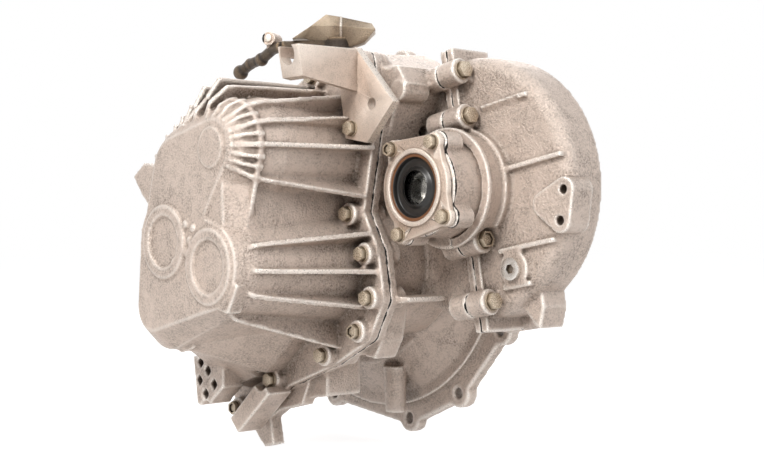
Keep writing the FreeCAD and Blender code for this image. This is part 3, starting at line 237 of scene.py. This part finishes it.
def grain_group():
    """Mottled metal: three sizes of noise between clean and stain colours, with painted shade in
    recesses and creases, and rubbed edges lightened further by a painted highlight.
    """
    group = bpy.data.node_groups.new("mottled_metal", "ShaderNodeTree")
    # The Stain colour serves the real stains and the painted shade in recesses alike.
    for name, kind, value in (("Clean", "NodeSocketColor", (0.6, 0.6, 0.6, 1)),
                              ("Stain", "NodeSocketColor", (0.3, 0.3, 0.3, 1)),
                              ("Wear And Highlight", "NodeSocketColor", (0.8, 0.8, 0.8, 1)),
                              ("Size", "NodeSocketFloat", 1.0),
                              ("Stain Amount", "NodeSocketFloat", 0.5),
                              ("Hollow Shade Amount", "NodeSocketFloat", 0.8),
                              ("Edge Amount", "NodeSocketFloat", 0.5),
                              ("Roughness", "NodeSocketFloat", 0.5)):
        socket = group.interface.new_socket(name, in_out="INPUT", socket_type=kind)
        socket.default_value = value
    for name, kind in (("Color", "NodeSocketColor"), ("Roughness", "NodeSocketFloat"),
                       ("Height", "NodeSocketFloat")):
        group.interface.new_socket(name, in_out="OUTPUT", socket_type=kind)
    made = group.nodes
    join = group.links.new
    given = made.new("NodeGroupInput")
    result = made.new("NodeGroupOutput")
    place = made.new("ShaderNodeTexCoord")

    def noise(scale, detail, roughness):
        """A noise of this many patches to a metre, before the material's own size."""
        size = made.new("ShaderNodeMath")
        size.operation = "MULTIPLY"
        size.inputs[1].default_value = scale
        join(given.outputs["Size"], size.inputs[0])
        texture = made.new("ShaderNodeTexNoise")
        texture.inputs["Detail"].default_value = detail
        texture.inputs["Roughness"].default_value = roughness
        join(place.outputs["Object"], texture.inputs["Vector"])
        join(size.outputs[0], texture.inputs["Scale"])
        return texture.outputs["Fac"]

    def spread(value, low, high, first=0.0, last=1.0):
        """Spreads the values from low to high over first to last."""
        ramp = made.new("ShaderNodeMapRange")
        ramp.inputs["From Min"].default_value = low
        ramp.inputs["From Max"].default_value = high
        ramp.inputs["To Min"].default_value = first
        ramp.inputs["To Max"].default_value = last
        join(value, ramp.inputs["Value"])
        return ramp.outputs["Result"]

    def maths(operation, one_value, other):
        """One step of arithmetic on sockets or plain numbers."""
        step = made.new("ShaderNodeMath")
        step.operation = operation
        for slot, value in enumerate((one_value, other)):
            if isinstance(value, float):
                step.inputs[slot].default_value = value
            else:
                join(value, step.inputs[slot])
        return step.outputs[0]

    def mixed(factor, first, last):
        """A colour between two colours."""
        mixer = made.new("ShaderNodeMix")
        mixer.data_type = "RGBA"
        join(factor, mixer.inputs[0])
        join(first, mixer.inputs[mix_first])
        join(last, mixer.inputs[mix_last])
        return mixer.outputs[mix_result]

    clouds = spread(noise(scale=12.0, detail=4.0, roughness=0.6), 0.38, 0.66)
    blots = spread(noise(scale=60.0, detail=6.0, roughness=0.75), 0.44, 0.64)
    speckle = spread(noise(scale=480.0, detail=3.0, roughness=0.7), 0.36, 0.62)
    fine = noise(scale=1500.0, detail=2.0, roughness=0.5)
    shape = made.new("ShaderNodeNewGeometry")
    # Edges (by pointiness) are lightened: rubbed metal, and a painted highlight.
    edges = spread(shape.outputs["Pointiness"], 0.505, 0.55)
    # Painted shade: creases (by pointiness) and recesses (by ambient occlusion) are darkened as if
    # shade fell in them.
    painted_hollow_shade = spread(shape.outputs["Pointiness"], 0.495, 0.44)
    ambient_occlusion = made.new("ShaderNodeAmbientOcclusion")
    ambient_occlusion.samples = 6
    ambient_occlusion.only_local = True
    ambient_occlusion.inputs["Distance"].default_value = 0.02
    painted_occlusion_shade = spread(ambient_occlusion.outputs["AO"], 0.8, 0.25)

    stain_and_shade = maths("MULTIPLY", maths("ADD", maths("MULTIPLY", clouds, 0.5),
                                      maths("MULTIPLY", blots, 0.6)), speckle)
    stain_and_shade = maths("MULTIPLY", stain_and_shade, given.outputs["Stain Amount"])
    painted_shade = maths("ADD", maths("MULTIPLY", painted_hollow_shade, 0.55), maths("MULTIPLY", painted_occlusion_shade, 0.75))
    stain_and_shade = maths("ADD", stain_and_shade, maths("MULTIPLY", painted_shade, given.outputs["Hollow Shade Amount"]))
    stain_and_shade = maths("MINIMUM", stain_and_shade, 1.0)
    base = mixed(stain_and_shade, given.outputs["Clean"], given.outputs["Stain"])
    # The wear and the painted highlight lift the edges towards the lighter colour.
    wear_and_highlight = maths("MULTIPLY", edges, given.outputs["Edge Amount"])
    join(mixed(wear_and_highlight, base, given.outputs["Wear And Highlight"]), result.inputs["Color"])
    rough = maths("ADD", given.outputs["Roughness"], spread(speckle, 0.0, 1.0, -0.08, 0.08))
    join(maths("SUBTRACT", rough, maths("MULTIPLY", wear_and_highlight, 0.15)), result.inputs["Roughness"])
    bumps = maths("ADD", maths("MULTIPLY", speckle, 0.7), maths("MULTIPLY", fine, 0.5))
    join(bumps, result.inputs["Height"])
    return group


mottled = grain_group()


def seam_group():
    """A ragged dark line where a plane meets the surface: sealant, and the painted shadow of
    the joint's gap.
    """
    group = bpy.data.node_groups.new("sealant_and_gap_shadow_line", "ShaderNodeTree")
    for name, kind in (("Color", "NodeSocketColor"), ("Sealant And Gap Shadow", "NodeSocketColor"),
                       ("Across", "NodeSocketVector"), ("Through", "NodeSocketFloat"),
                       ("Width", "NodeSocketFloat")):
        group.interface.new_socket(name, in_out="INPUT", socket_type=kind)
    group.interface.new_socket("Color", in_out="OUTPUT", socket_type="NodeSocketColor")
    made = group.nodes
    join = group.links.new
    given = made.new("NodeGroupInput")
    result = made.new("NodeGroupOutput")
    place = made.new("ShaderNodeTexCoord")
    along = made.new("ShaderNodeVectorMath")
    along.operation = "DOT_PRODUCT"
    join(place.outputs["Object"], along.inputs[0])
    join(given.outputs["Across"], along.inputs[1])
    off = made.new("ShaderNodeMath")
    off.operation = "SUBTRACT"
    join(along.outputs["Value"], off.inputs[0])
    join(given.outputs["Through"], off.inputs[1])
    near = made.new("ShaderNodeMath")
    near.operation = "ABSOLUTE"
    join(off.outputs[0], near.inputs[0])
    ragged = made.new("ShaderNodeTexNoise")
    ragged.inputs["Scale"].default_value = 90.0
    ragged.inputs["Detail"].default_value = 3.0
    join(place.outputs["Object"], ragged.inputs["Vector"])
    wide = made.new("ShaderNodeMapRange")
    wide.inputs["From Min"].default_value = 0.35
    wide.inputs["From Max"].default_value = 0.65
    wide.inputs["To Min"].default_value = 0.1
    wide.inputs["To Max"].default_value = 1.3
    join(ragged.outputs["Fac"], wide.inputs["Value"])
    reach = made.new("ShaderNodeMath")
    reach.operation = "MULTIPLY"
    join(wide.outputs["Result"], reach.inputs[0])
    join(given.outputs["Width"], reach.inputs[1])
    inside = made.new("ShaderNodeMath")
    inside.operation = "LESS_THAN"
    join(near.outputs[0], inside.inputs[0])
    join(reach.outputs[0], inside.inputs[1])
    mixer = made.new("ShaderNodeMix")
    mixer.data_type = "RGBA"
    join(inside.outputs[0], mixer.inputs[0])
    join(given.outputs["Color"], mixer.inputs[mix_first])
    join(given.outputs["Sealant And Gap Shadow"], mixer.inputs[mix_last])
    join(mixer.outputs[mix_result], result.inputs["Color"])
    return group


seam_line = seam_group()


# Near black: the sealant, and the painted shadow in the gap between the parts.
sealant_and_gap_shadow_black = (0.012, 0.010, 0.009, 1)


def metal(name, clean, stain, wear_and_highlight, stains, edges, rough, metallic, bump, size=1.0, painted_hollow_shade=0.8,
          seams=()):
    """A metal surface with mottled colour, painted shade in recesses, rubbed edges with a painted
    highlight, a fine grain, and dark seam lines of sealant and painted gap shadow.
    """
    material, tree_nodes, links = new_material(name)
    out = tree_nodes.new("ShaderNodeOutputMaterial")
    shader = tree_nodes.new("ShaderNodeBsdfPrincipled")
    grain = tree_nodes.new("ShaderNodeGroup")
    grain.node_tree = mottled
    for socket, value in (("Clean", clean), ("Stain", stain), ("Wear And Highlight", wear_and_highlight)):
        grain.inputs[socket].default_value = (*value, 1)
    for socket, value in (("Size", size), ("Stain Amount", stains), ("Edge Amount", edges),
                          ("Roughness", rough), ("Hollow Shade Amount", painted_hollow_shade)):
        grain.inputs[socket].default_value = value
    color = grain.outputs["Color"]
    for across, through, width in seams:
        seam = tree_nodes.new("ShaderNodeGroup")
        seam.node_tree = seam_line
        seam.inputs["Across"].default_value = across
        seam.inputs["Through"].default_value = through
        seam.inputs["Width"].default_value = width
        seam.inputs["Sealant And Gap Shadow"].default_value = sealant_and_gap_shadow_black
        links.new(color, seam.inputs["Color"])
        color = seam.outputs["Color"]
    relief = tree_nodes.new("ShaderNodeBump")
    relief.inputs["Strength"].default_value = 1.0
    relief.inputs["Distance"].default_value = bump
    links.new(grain.outputs["Height"], relief.inputs["Height"])
    links.new(color, shader.inputs["Base Color"])
    links.new(grain.outputs["Roughness"], shader.inputs["Roughness"])
    links.new(relief.outputs["Normal"], shader.inputs["Normal"])
    shader.inputs["Metallic"].default_value = metallic
    links.new(shader.outputs[0], out.inputs["Surface"])
    return material


# The case's flange meets the housing on a plane across X. The cover splits from the housing on
# a leaning plane through the output bore's centre.
# Along each plane a dark line is painted: sealant, and the shadow in the joint's gap.
flange_seam = ((1.0, 0.0, 0.0), -0.160, 0.0011)
output_y = -0.215
output_z = 0.053
lean = math.radians(-10)
cover_split = (0.0, math.cos(lean), math.sin(lean))
cover_seam = (cover_split, output_y * cover_split[1] + output_z * cover_split[2], 0.0010)
# In this aluminium, recesses take painted shade at full strength, and edges take a painted
# highlight.
aluminium = {"clean": (0.635, 0.53, 0.462), "stain": (0.125, 0.098, 0.078),
             "wear_and_highlight": (0.95, 0.89, 0.83), "stains": 0.72, "edges": 0.85, "rough": 0.42,
             "metallic": 0.5, "bump": 0.0006, "painted_hollow_shade": 1.0}
cast_aluminium = metal("cast_aluminium", seams=(flange_seam, cover_seam), **aluminium)

housing = copy_of("main_housing", "bell_and_differential_housing")
cast_skin(housing, voxel=0.0019, rounds=2, most=195000)
housing.data.materials.append(cast_aluminium)
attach(housing, "casing")
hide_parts("main_housing")

# Shafts, gears, sleeves, forks, bearings and the differential lie inside the castings. They
# are ground and hobbed steel, a little oily, and keep the CAD's shapes.
oiled_steel = metal("oiled_steel", (0.50, 0.49, 0.47), (0.26, 0.22, 0.17), (0.72, 0.71, 0.69),
                    size=2.0, stains=0.4, edges=0.5, rough=0.32, metallic=1.0, bump=0.00003)
bearing_steel = metal("bearing_steel", (0.62, 0.62, 0.62), (0.35, 0.33, 0.30),
                      (0.80, 0.80, 0.80), size=3.0, stains=0.2, edges=0.4, rough=0.22,
                      metallic=1.0, bump=0.00001)
for name, node in nodes.items():
    node.data.materials.clear()
    node.data.materials.append(bearing_steel if "bearing" in name else oiled_steel)

# The gear case: a deep ribbed casting of the same aluminium, which closes the gear train and is
# bolted to the housing's flange. The pips on its face, the round crown ribs over the upper shaft
# and the wall of one bolt's well on the far side are fused with it by its skin.
def cast_on(piece, relief):
    """Joins small raised forms to a casting, to be fused with it by its skin."""
    bpy.ops.object.select_all(action="DESELECT")
    for form in relief:
        form.select_set(True)
    piece.select_set(True)
    bpy.context.view_layer.objects.active = piece
    bpy.ops.object.join()


def peg(start, stop, radius, sides=20):
    """A round form between two points."""
    bpy.ops.object.select_all(action="DESELECT")
    start, stop = Vector(start), Vector(stop)
    bpy.ops.mesh.primitive_cylinder_add(vertices=sides, radius=radius,
                                        depth=(stop - start).length)
    form = bpy.context.object
    turn = (stop - start).to_track_quat("Z", "Y").to_matrix().to_4x4()
    form.data.transform(Matrix.Translation((start + stop) / 2) @ turn)
    return form


case = copy_of("gear_case", "ribbed_gear_case")
pip_places = ((-39.1, 17.7), (-52.5, 13.8), (-33.7, 5.9), (-46.0, 1.6), (-26.7, -7.4),
              (-40.3, -10.9), (-18.7, -20.3))
pip_root = -0.312
pip_face = -0.3174
pip_radius = 0.0036
relief = [peg((pip_root, y / 1000, z / 1000), (pip_face, y / 1000, z / 1000), pip_radius)
          for y, z in pip_places]
crown = Vector((0.0, -0.020, 0.050))
rib_tips = ((54.3, 91.5), (33.2, 112.1), (17.0, 121.4), (2.7, 130.5), (-13.3, 140.5),
            (-36.7, 157.4), (-63.2, 163.7))
rib_back = -0.166
rib_front = -0.293
rib_slope = 0.0022
rib_sink = 0.003
rib_pegs = 5
rib_pitch = 0.0045
rib_radius = 0.0031
for y, z in rib_tips:
    tip = Vector((0.0, y / 1000, z / 1000))
    inward = (crown - tip).normalized()
    for step in range(rib_pegs):
        place = tip + inward * (rib_sink + rib_pitch * step)
        front = rib_front - rib_slope * step
        relief.append(peg((front, place.y, place.z), (rib_back, place.y, place.z), rib_radius, 12))
bolt_well = Vector((0.0, 0.088, -0.045))
well_radius = 0.0133
well_front = -0.262
well_back = -0.176
well_wall = 0.0024
well_arc = range(95, 216, 10)
for degrees in well_arc:
    wall = bolt_well + Vector((0.0, math.cos(math.radians(degrees)),
                               math.sin(math.radians(degrees)))) * well_radius
    relief.append(peg((well_front, wall.y, wall.z), (well_back, wall.y, wall.z), well_wall, 12))
cast_on(case, relief)
cast_skin(case, voxel=0.0016, rounds=2, most=198000)
case.data.materials.append(cast_aluminium)
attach(case, "casing")
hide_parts("gear_case")

# The differential's cover: a drum-shaped casting of the same aluminium, with ribs and a rim. It
# is bolted to the housing along a plane that leans back.
cover = copy_of("differential_cover", "differential_drum_cover")
cast_skin(cover, voxel=0.0016, rounds=2, most=160000)
cover.data.materials.append(cast_aluminium)
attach(cover, "casing")
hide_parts("differential_cover")


# Bolts with flanged hexagon heads hold the castings together. They are yellow-zinc steel,
# browned by heat and oil, with a broken edge on every head and a forged recess in some.
smallest_head = 90e-6
same_way = 0.99
same_plane = math.radians(1)
sharp_edge = math.radians(35)
groove_share = 0.45
pad_share = 0.6


def dimple(piece, direction, rim, depth):
    """Sinks a forged recess into head tops that look along a direction. It reaches only some of
    them, which is a known fault: where a side is deselected after its top, most likely the
    corners that they share are dropped from the top."""
    pick(piece)
    bpy.ops.object.mode_set(mode="EDIT")
    bpy.ops.mesh.select_all(action="SELECT")
    bpy.ops.mesh.dissolve_limited(angle_limit=same_plane)
    form = bmesh.from_edit_mesh(piece.data)
    for face in form.faces:
        looks_out = face.normal.dot(Vector(direction)) > same_way
        face.select = looks_out and face.calc_area() > smallest_head
    form.select_flush_mode()
    bmesh.update_edit_mesh(piece.data)
    bpy.ops.mesh.inset(thickness=rim, use_individual=True)
    bpy.ops.mesh.extrude_region_shrink_fatten(
        TRANSFORM_OT_shrink_fatten={"value": -depth})
    bpy.ops.mesh.inset(thickness=rim * groove_share, use_individual=True)
    bpy.ops.mesh.extrude_region_shrink_fatten(
        TRANSFORM_OT_shrink_fatten={"value": depth * pad_share})
    bpy.ops.object.mode_set(mode="OBJECT")


def turned_copy(node, name, width, recess=None):
    """A merged copy of a node with its edges broken by a narrow round."""
    piece = copy_of(node, name)
    if recess:
        dimple(piece, *recess)
    apply_modifier(piece, "BEVEL", width=width, segments=2, limit_method="ANGLE",
                   angle_limit=sharp_edge, miter_outer="MITER_ARC")
    pick(piece)
    bpy.ops.object.shade_smooth_by_angle(angle=sharp_edge)
    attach(piece, "casing")
    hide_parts(node)
    return piece


zinc = metal("browned_zinc", (0.20, 0.145, 0.088), (0.035, 0.025, 0.018), (0.58, 0.49, 0.38),
             size=2.5, stains=1.0, edges=0.9, rough=0.40, metallic=0.6, bump=0.0002,
             painted_hollow_shade=1.0)
leaning_out = (0.0, -math.cos(lean), -math.sin(lean))
head_edge = 0.0004
head_rim = 0.0019
recess_depth = 0.0038
for node, outwards in (("gear_case_bolts", (-1, 0, 0)),
                       ("differential_cover_bolts", leaning_out),
                       ("retainer_bolts", (-1, 0, 0))):
    bolts = turned_copy(node, "flanged_" + node, head_edge,
                        recess=(outwards, head_rim, recess_depth))
    bolts.data.materials.append(zinc)

# The square seal retainer, the mount bracket and the selector turret's cap are smaller
# aluminium pieces, smoother than the sand castings.
# A dark line along a plane across X: sealant, and the painted shadow of the joint's gap.
foot_seam = ((1.0, 0.0, 0.0), -0.1622, 0.0012)
satin_aluminium = metal("satin_aluminium", (0.60, 0.48, 0.40), (0.16, 0.12, 0.09),
                        (0.90, 0.82, 0.74), size=1.5, stains=0.7, edges=0.7, rough=0.42,
                        metallic=0.5, bump=0.0003, seams=(foot_seam,))
casting_edge = 0.0012
for node, name in (("output_seal_retainer", "square_seal_retainer"),
                   ("top_mount_bracket", "diamond_mount_bracket"),
                   ("selector_turret_cover", "selector_turret_cap")):
    piece = turned_copy(node, name, casting_edge)
    piece.data.materials.append(satin_aluminium)

# The two shaft seals are pressed into the differential's bores, and oil keeps them shiny. Each
# is black moulded rubber on a pressed steel case, whose edge shows as a ring of rust.
rust_from = 0.0298
lip_edge = 0.0006
rubber, tree_nodes, links = new_material("oiled_rubber")
out = tree_nodes.new("ShaderNodeOutputMaterial")
shader = tree_nodes.new("ShaderNodeBsdfPrincipled")
grain = tree_nodes.new("ShaderNodeTexNoise")
place = tree_nodes.new("ShaderNodeTexCoord")
ramp = tree_nodes.new("ShaderNodeValToRGB")
grain.inputs["Scale"].default_value = 260.0
grain.inputs["Detail"].default_value = 4.0
ramp.color_ramp.elements[0].color = (0.004, 0.004, 0.004, 1)
ramp.color_ramp.elements[1].color = (0.020, 0.017, 0.015, 1)
links.new(place.outputs["Object"], grain.inputs["Vector"])
links.new(grain.outputs["Fac"], ramp.inputs["Fac"])
centred = tree_nodes.new("ShaderNodeMapping")
centred.inputs["Location"].default_value = (0.0, -output_y, -output_z)
centred.inputs["Scale"].default_value = (0.0, 1.0, 1.0)
radius = tree_nodes.new("ShaderNodeVectorMath")
radius.operation = "LENGTH"
outer_ring = tree_nodes.new("ShaderNodeMath")
outer_ring.operation = "GREATER_THAN"
outer_ring.inputs[1].default_value = rust_from
rusted = tree_nodes.new("ShaderNodeMix")
rusted.data_type = "RGBA"
rusted.inputs[mix_last].default_value = (0.16, 0.065, 0.025, 1)
links.new(place.outputs["Object"], centred.inputs["Vector"])
links.new(centred.outputs["Vector"], radius.inputs[0])
links.new(radius.outputs["Value"], outer_ring.inputs[0])
links.new(outer_ring.outputs[0], rusted.inputs[0])
links.new(ramp.outputs["Color"], rusted.inputs[mix_first])
links.new(rusted.outputs[mix_result], shader.inputs["Base Color"])
shader.inputs["Roughness"].default_value = 0.34
links.new(shader.outputs[0], out.inputs["Surface"])
for node in ("left_output_seal", "right_output_seal"):
    piece = turned_copy(node, "lipped_" + node, lip_edge)
    piece.data.materials.append(rubber)

# The drain plug and the breather are plain turned steel. The plug screws into the end face of
# the differential's cover and takes a hexagon key. The breather's cap is pressed on its stem.
fitting_edge = 0.0005
plain_steel = metal("plain_steel", (0.46, 0.43, 0.40), (0.16, 0.13, 0.10), (0.75, 0.72, 0.68),
                    size=2.0, stains=0.7, edges=0.8, rough=0.38, metallic=1.0, bump=0.00008)
for node, name in (("drain_plug", "socket_drain_plug"), ("breather", "breather_cap")):
    piece = turned_copy(node, name, fitting_edge)
    piece.data.materials.append(plain_steel)

# The selector's weight: a heavy casting, dark with age, fixed on the end of the selector shaft.
# It is split by a shallow step across its front, and a bright steel strap runs down its face.
dull_bronze = metal("dull_bronze", (0.33, 0.25, 0.175), (0.060, 0.046, 0.034),
                    (0.70, 0.58, 0.44), size=1.4, stains=0.9, edges=0.8, rough=0.44,
                    metallic=0.55, bump=0.0004)
strap_steel = metal("strap_steel", (0.62, 0.54, 0.46), (0.25, 0.20, 0.16), (0.85, 0.78, 0.70),
                    size=2.0, stains=0.4, edges=0.5, rough=0.36, metallic=0.8, bump=0.0001)
turn = math.radians(-42)
lengthwise = Vector((math.cos(turn), math.sin(turn), 0.0))
frontwards = Vector((math.sin(turn), -math.cos(turn), 0.0))
shaft_axis = Vector((-0.100, -0.018, 0.0))
break_height = 0.2335
break_slope = (0.05, -0.04, 1.0)
waist = -0.009
strap_left = 0.0025
strap_right = 0.0052
strap_foot = 0.215
strap_thickness = 0.0010
front_edge = 0.0165
above_break = 0.2395
below_break = 0.2285
upper_setback = 0.009
lower_setback = 0.014
tail_end = -0.045
weight_edge = 0.0007
facing_front = 0.2


def bisected(piece, point, normal):
    """Cuts all the faces of a piece along a plane and keeps both sides."""
    pick(piece)
    bpy.ops.object.mode_set(mode="EDIT")
    bpy.ops.mesh.select_all(action="SELECT")
    bpy.ops.mesh.bisect(plane_co=point, plane_no=normal)
    bpy.ops.object.mode_set(mode="OBJECT")


def move_corners(piece, chosen, shift):
    """Moves the chosen corners of a piece together."""
    pick(piece)
    bpy.ops.object.mode_set(mode="EDIT")
    bpy.ops.mesh.select_all(action="DESELECT")
    form = bmesh.from_edit_mesh(piece.data)
    for corner in form.verts:
        corner.select = chosen(corner.co)
    form.select_flush_mode()
    bmesh.update_edit_mesh(piece.data)
    bpy.ops.transform.translate(value=shift)
    bpy.ops.object.mode_set(mode="OBJECT")


def along(point):
    """How far a point lies along the weight from the shaft."""
    return (point - shaft_axis).dot(lengthwise)


def ahead(point):
    """How far a point lies in front of the shaft."""
    return (point - shaft_axis).dot(frontwards)


lever = copy_of("selector_lever", "selector_weight")
pick(lever)
bpy.ops.object.mode_set(mode="EDIT")
bpy.ops.mesh.select_all(action="SELECT")
bpy.ops.mesh.dissolve_limited(angle_limit=same_plane)
bpy.ops.object.mode_set(mode="OBJECT")
bisected(lever, (0, 0, break_height), break_slope)
for spot in (waist, strap_left, strap_right):
    bisected(lever, shaft_axis + lengthwise * spot, lengthwise)
move_corners(lever, lambda place: ahead(place) > front_edge and place.z > above_break,
             frontwards * -upper_setback)
move_corners(lever, lambda place: (ahead(place) > front_edge and place.z < below_break
                                   and along(place) > tail_end),
             frontwards * -lower_setback)
pick(lever)
bpy.ops.object.mode_set(mode="EDIT")
bpy.ops.mesh.select_mode(type="FACE")
bpy.ops.mesh.select_all(action="DESELECT")
form = bmesh.from_edit_mesh(lever.data)
for face in form.faces:
    centre = face.calc_center_median()
    face.select = (strap_left < along(centre) < strap_right and ahead(centre) > 0.0
                   and face.normal.dot(frontwards) > facing_front and centre.z > strap_foot)
lever.data.materials.append(dull_bronze)
lever.data.materials.append(strap_steel)
lever.active_material_index = 1
bmesh.update_edit_mesh(lever.data)
bpy.ops.object.material_slot_assign()
bpy.ops.mesh.extrude_region_shrink_fatten(TRANSFORM_OT_shrink_fatten={"value": strap_thickness})
bpy.ops.mesh.select_mode(type="VERT")
bpy.ops.object.mode_set(mode="OBJECT")
apply_modifier(lever, "BEVEL", width=weight_edge, segments=2, limit_method="ANGLE",
               angle_limit=math.radians(20))
pick(lever)
bpy.ops.object.shade_smooth_by_angle(angle=math.radians(30))
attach(lever, "selector_lever")
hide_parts("selector_lever")

# The lever's greasy arm reaches over the gear case to a knuckle, past the pin that takes the
# shift cable. It is a forging bent down at its end, black with oil, and turns with the lever.
greased_iron = metal("greased_iron", (0.060, 0.046, 0.036), (0.010, 0.008, 0.007),
                     (0.42, 0.30, 0.19), size=2.0, stains=1.0, edges=0.8, rough=0.36,
                     metallic=0.6, bump=0.0005)
arm_route = ((-100, -18, 219), (-150, 20, 217), (-150, 36, 215), (-150, 57, 206),
             (-150, 78, 203), (-150, 97, 195))
route = [Vector(point) / 1000 for point in arm_route]
hub_half = Vector((0, 0, 0.008))
hub_radius = 0.0135
arm_radius = 0.0062
knuckle_radii = (0.0080, 0.0070, 0.0090)
arm = peg(route[0] - hub_half, route[0] + hub_half, hub_radius, 32)
arm.name = "greased_shift_arm"
arm_runs = [peg(first, second, arm_radius, 16) for first, second in zip(route, route[1:])]
for place, width in zip(route[3:], knuckle_radii):
    bpy.ops.object.select_all(action="DESELECT")
    bpy.ops.mesh.primitive_uv_sphere_add(segments=20, ring_count=12, radius=width)
    bpy.context.object.data.transform(Matrix.Translation(place))
    arm_runs.append(bpy.context.object)
cast_on(arm, arm_runs)
cast_skin(arm, voxel=0.0013, rounds=8, most=30000)
arm.data.materials.append(greased_iron)
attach(arm, "selector_lever")

# The cable's pin lies across a short shank that stands on the arm. It is cast and machined, and
# its bright end is where the cable's eye is clipped on.
pin_place = Vector((-0.150, 0.038, 0.2265))
pin_axis = Vector((-0.86, -0.51, 0.0)).normalized()
pin_radius = 0.0078
shank_foot = Vector((-0.150, 0.038, 0.213))
shank_radius = 0.0058
shank_top = pin_place + Vector((0, 0, 0.002))
end_radius = 0.0042
end_edge = 0.0008
pin_front = 0.010
pin_back = 0.014
end_front = 0.012
pin = peg(pin_place + pin_axis * pin_front, pin_place - pin_axis * pin_back, pin_radius, 40)
pin.name = "cable_pin"
shank = peg(shank_top, shank_foot, shank_radius, 24)
cast_on(pin, [shank])
cast_skin(pin, voxel=0.0009, rounds=2, most=20000)
head = peg(pin_place + pin_axis * end_front, pin_place, end_radius, 32)
head.name = "cable_pin_end"
apply_modifier(head, "BEVEL", width=end_edge, segments=2, limit_method="ANGLE",
               angle_limit=math.radians(40))
pick(head)
bpy.ops.object.shade_smooth_by_angle(angle=math.radians(30))
for piece in (pin, head):
    piece.data.materials.append(satin_aluminium if piece == pin else strap_steel)
    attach(piece, "selector_lever")
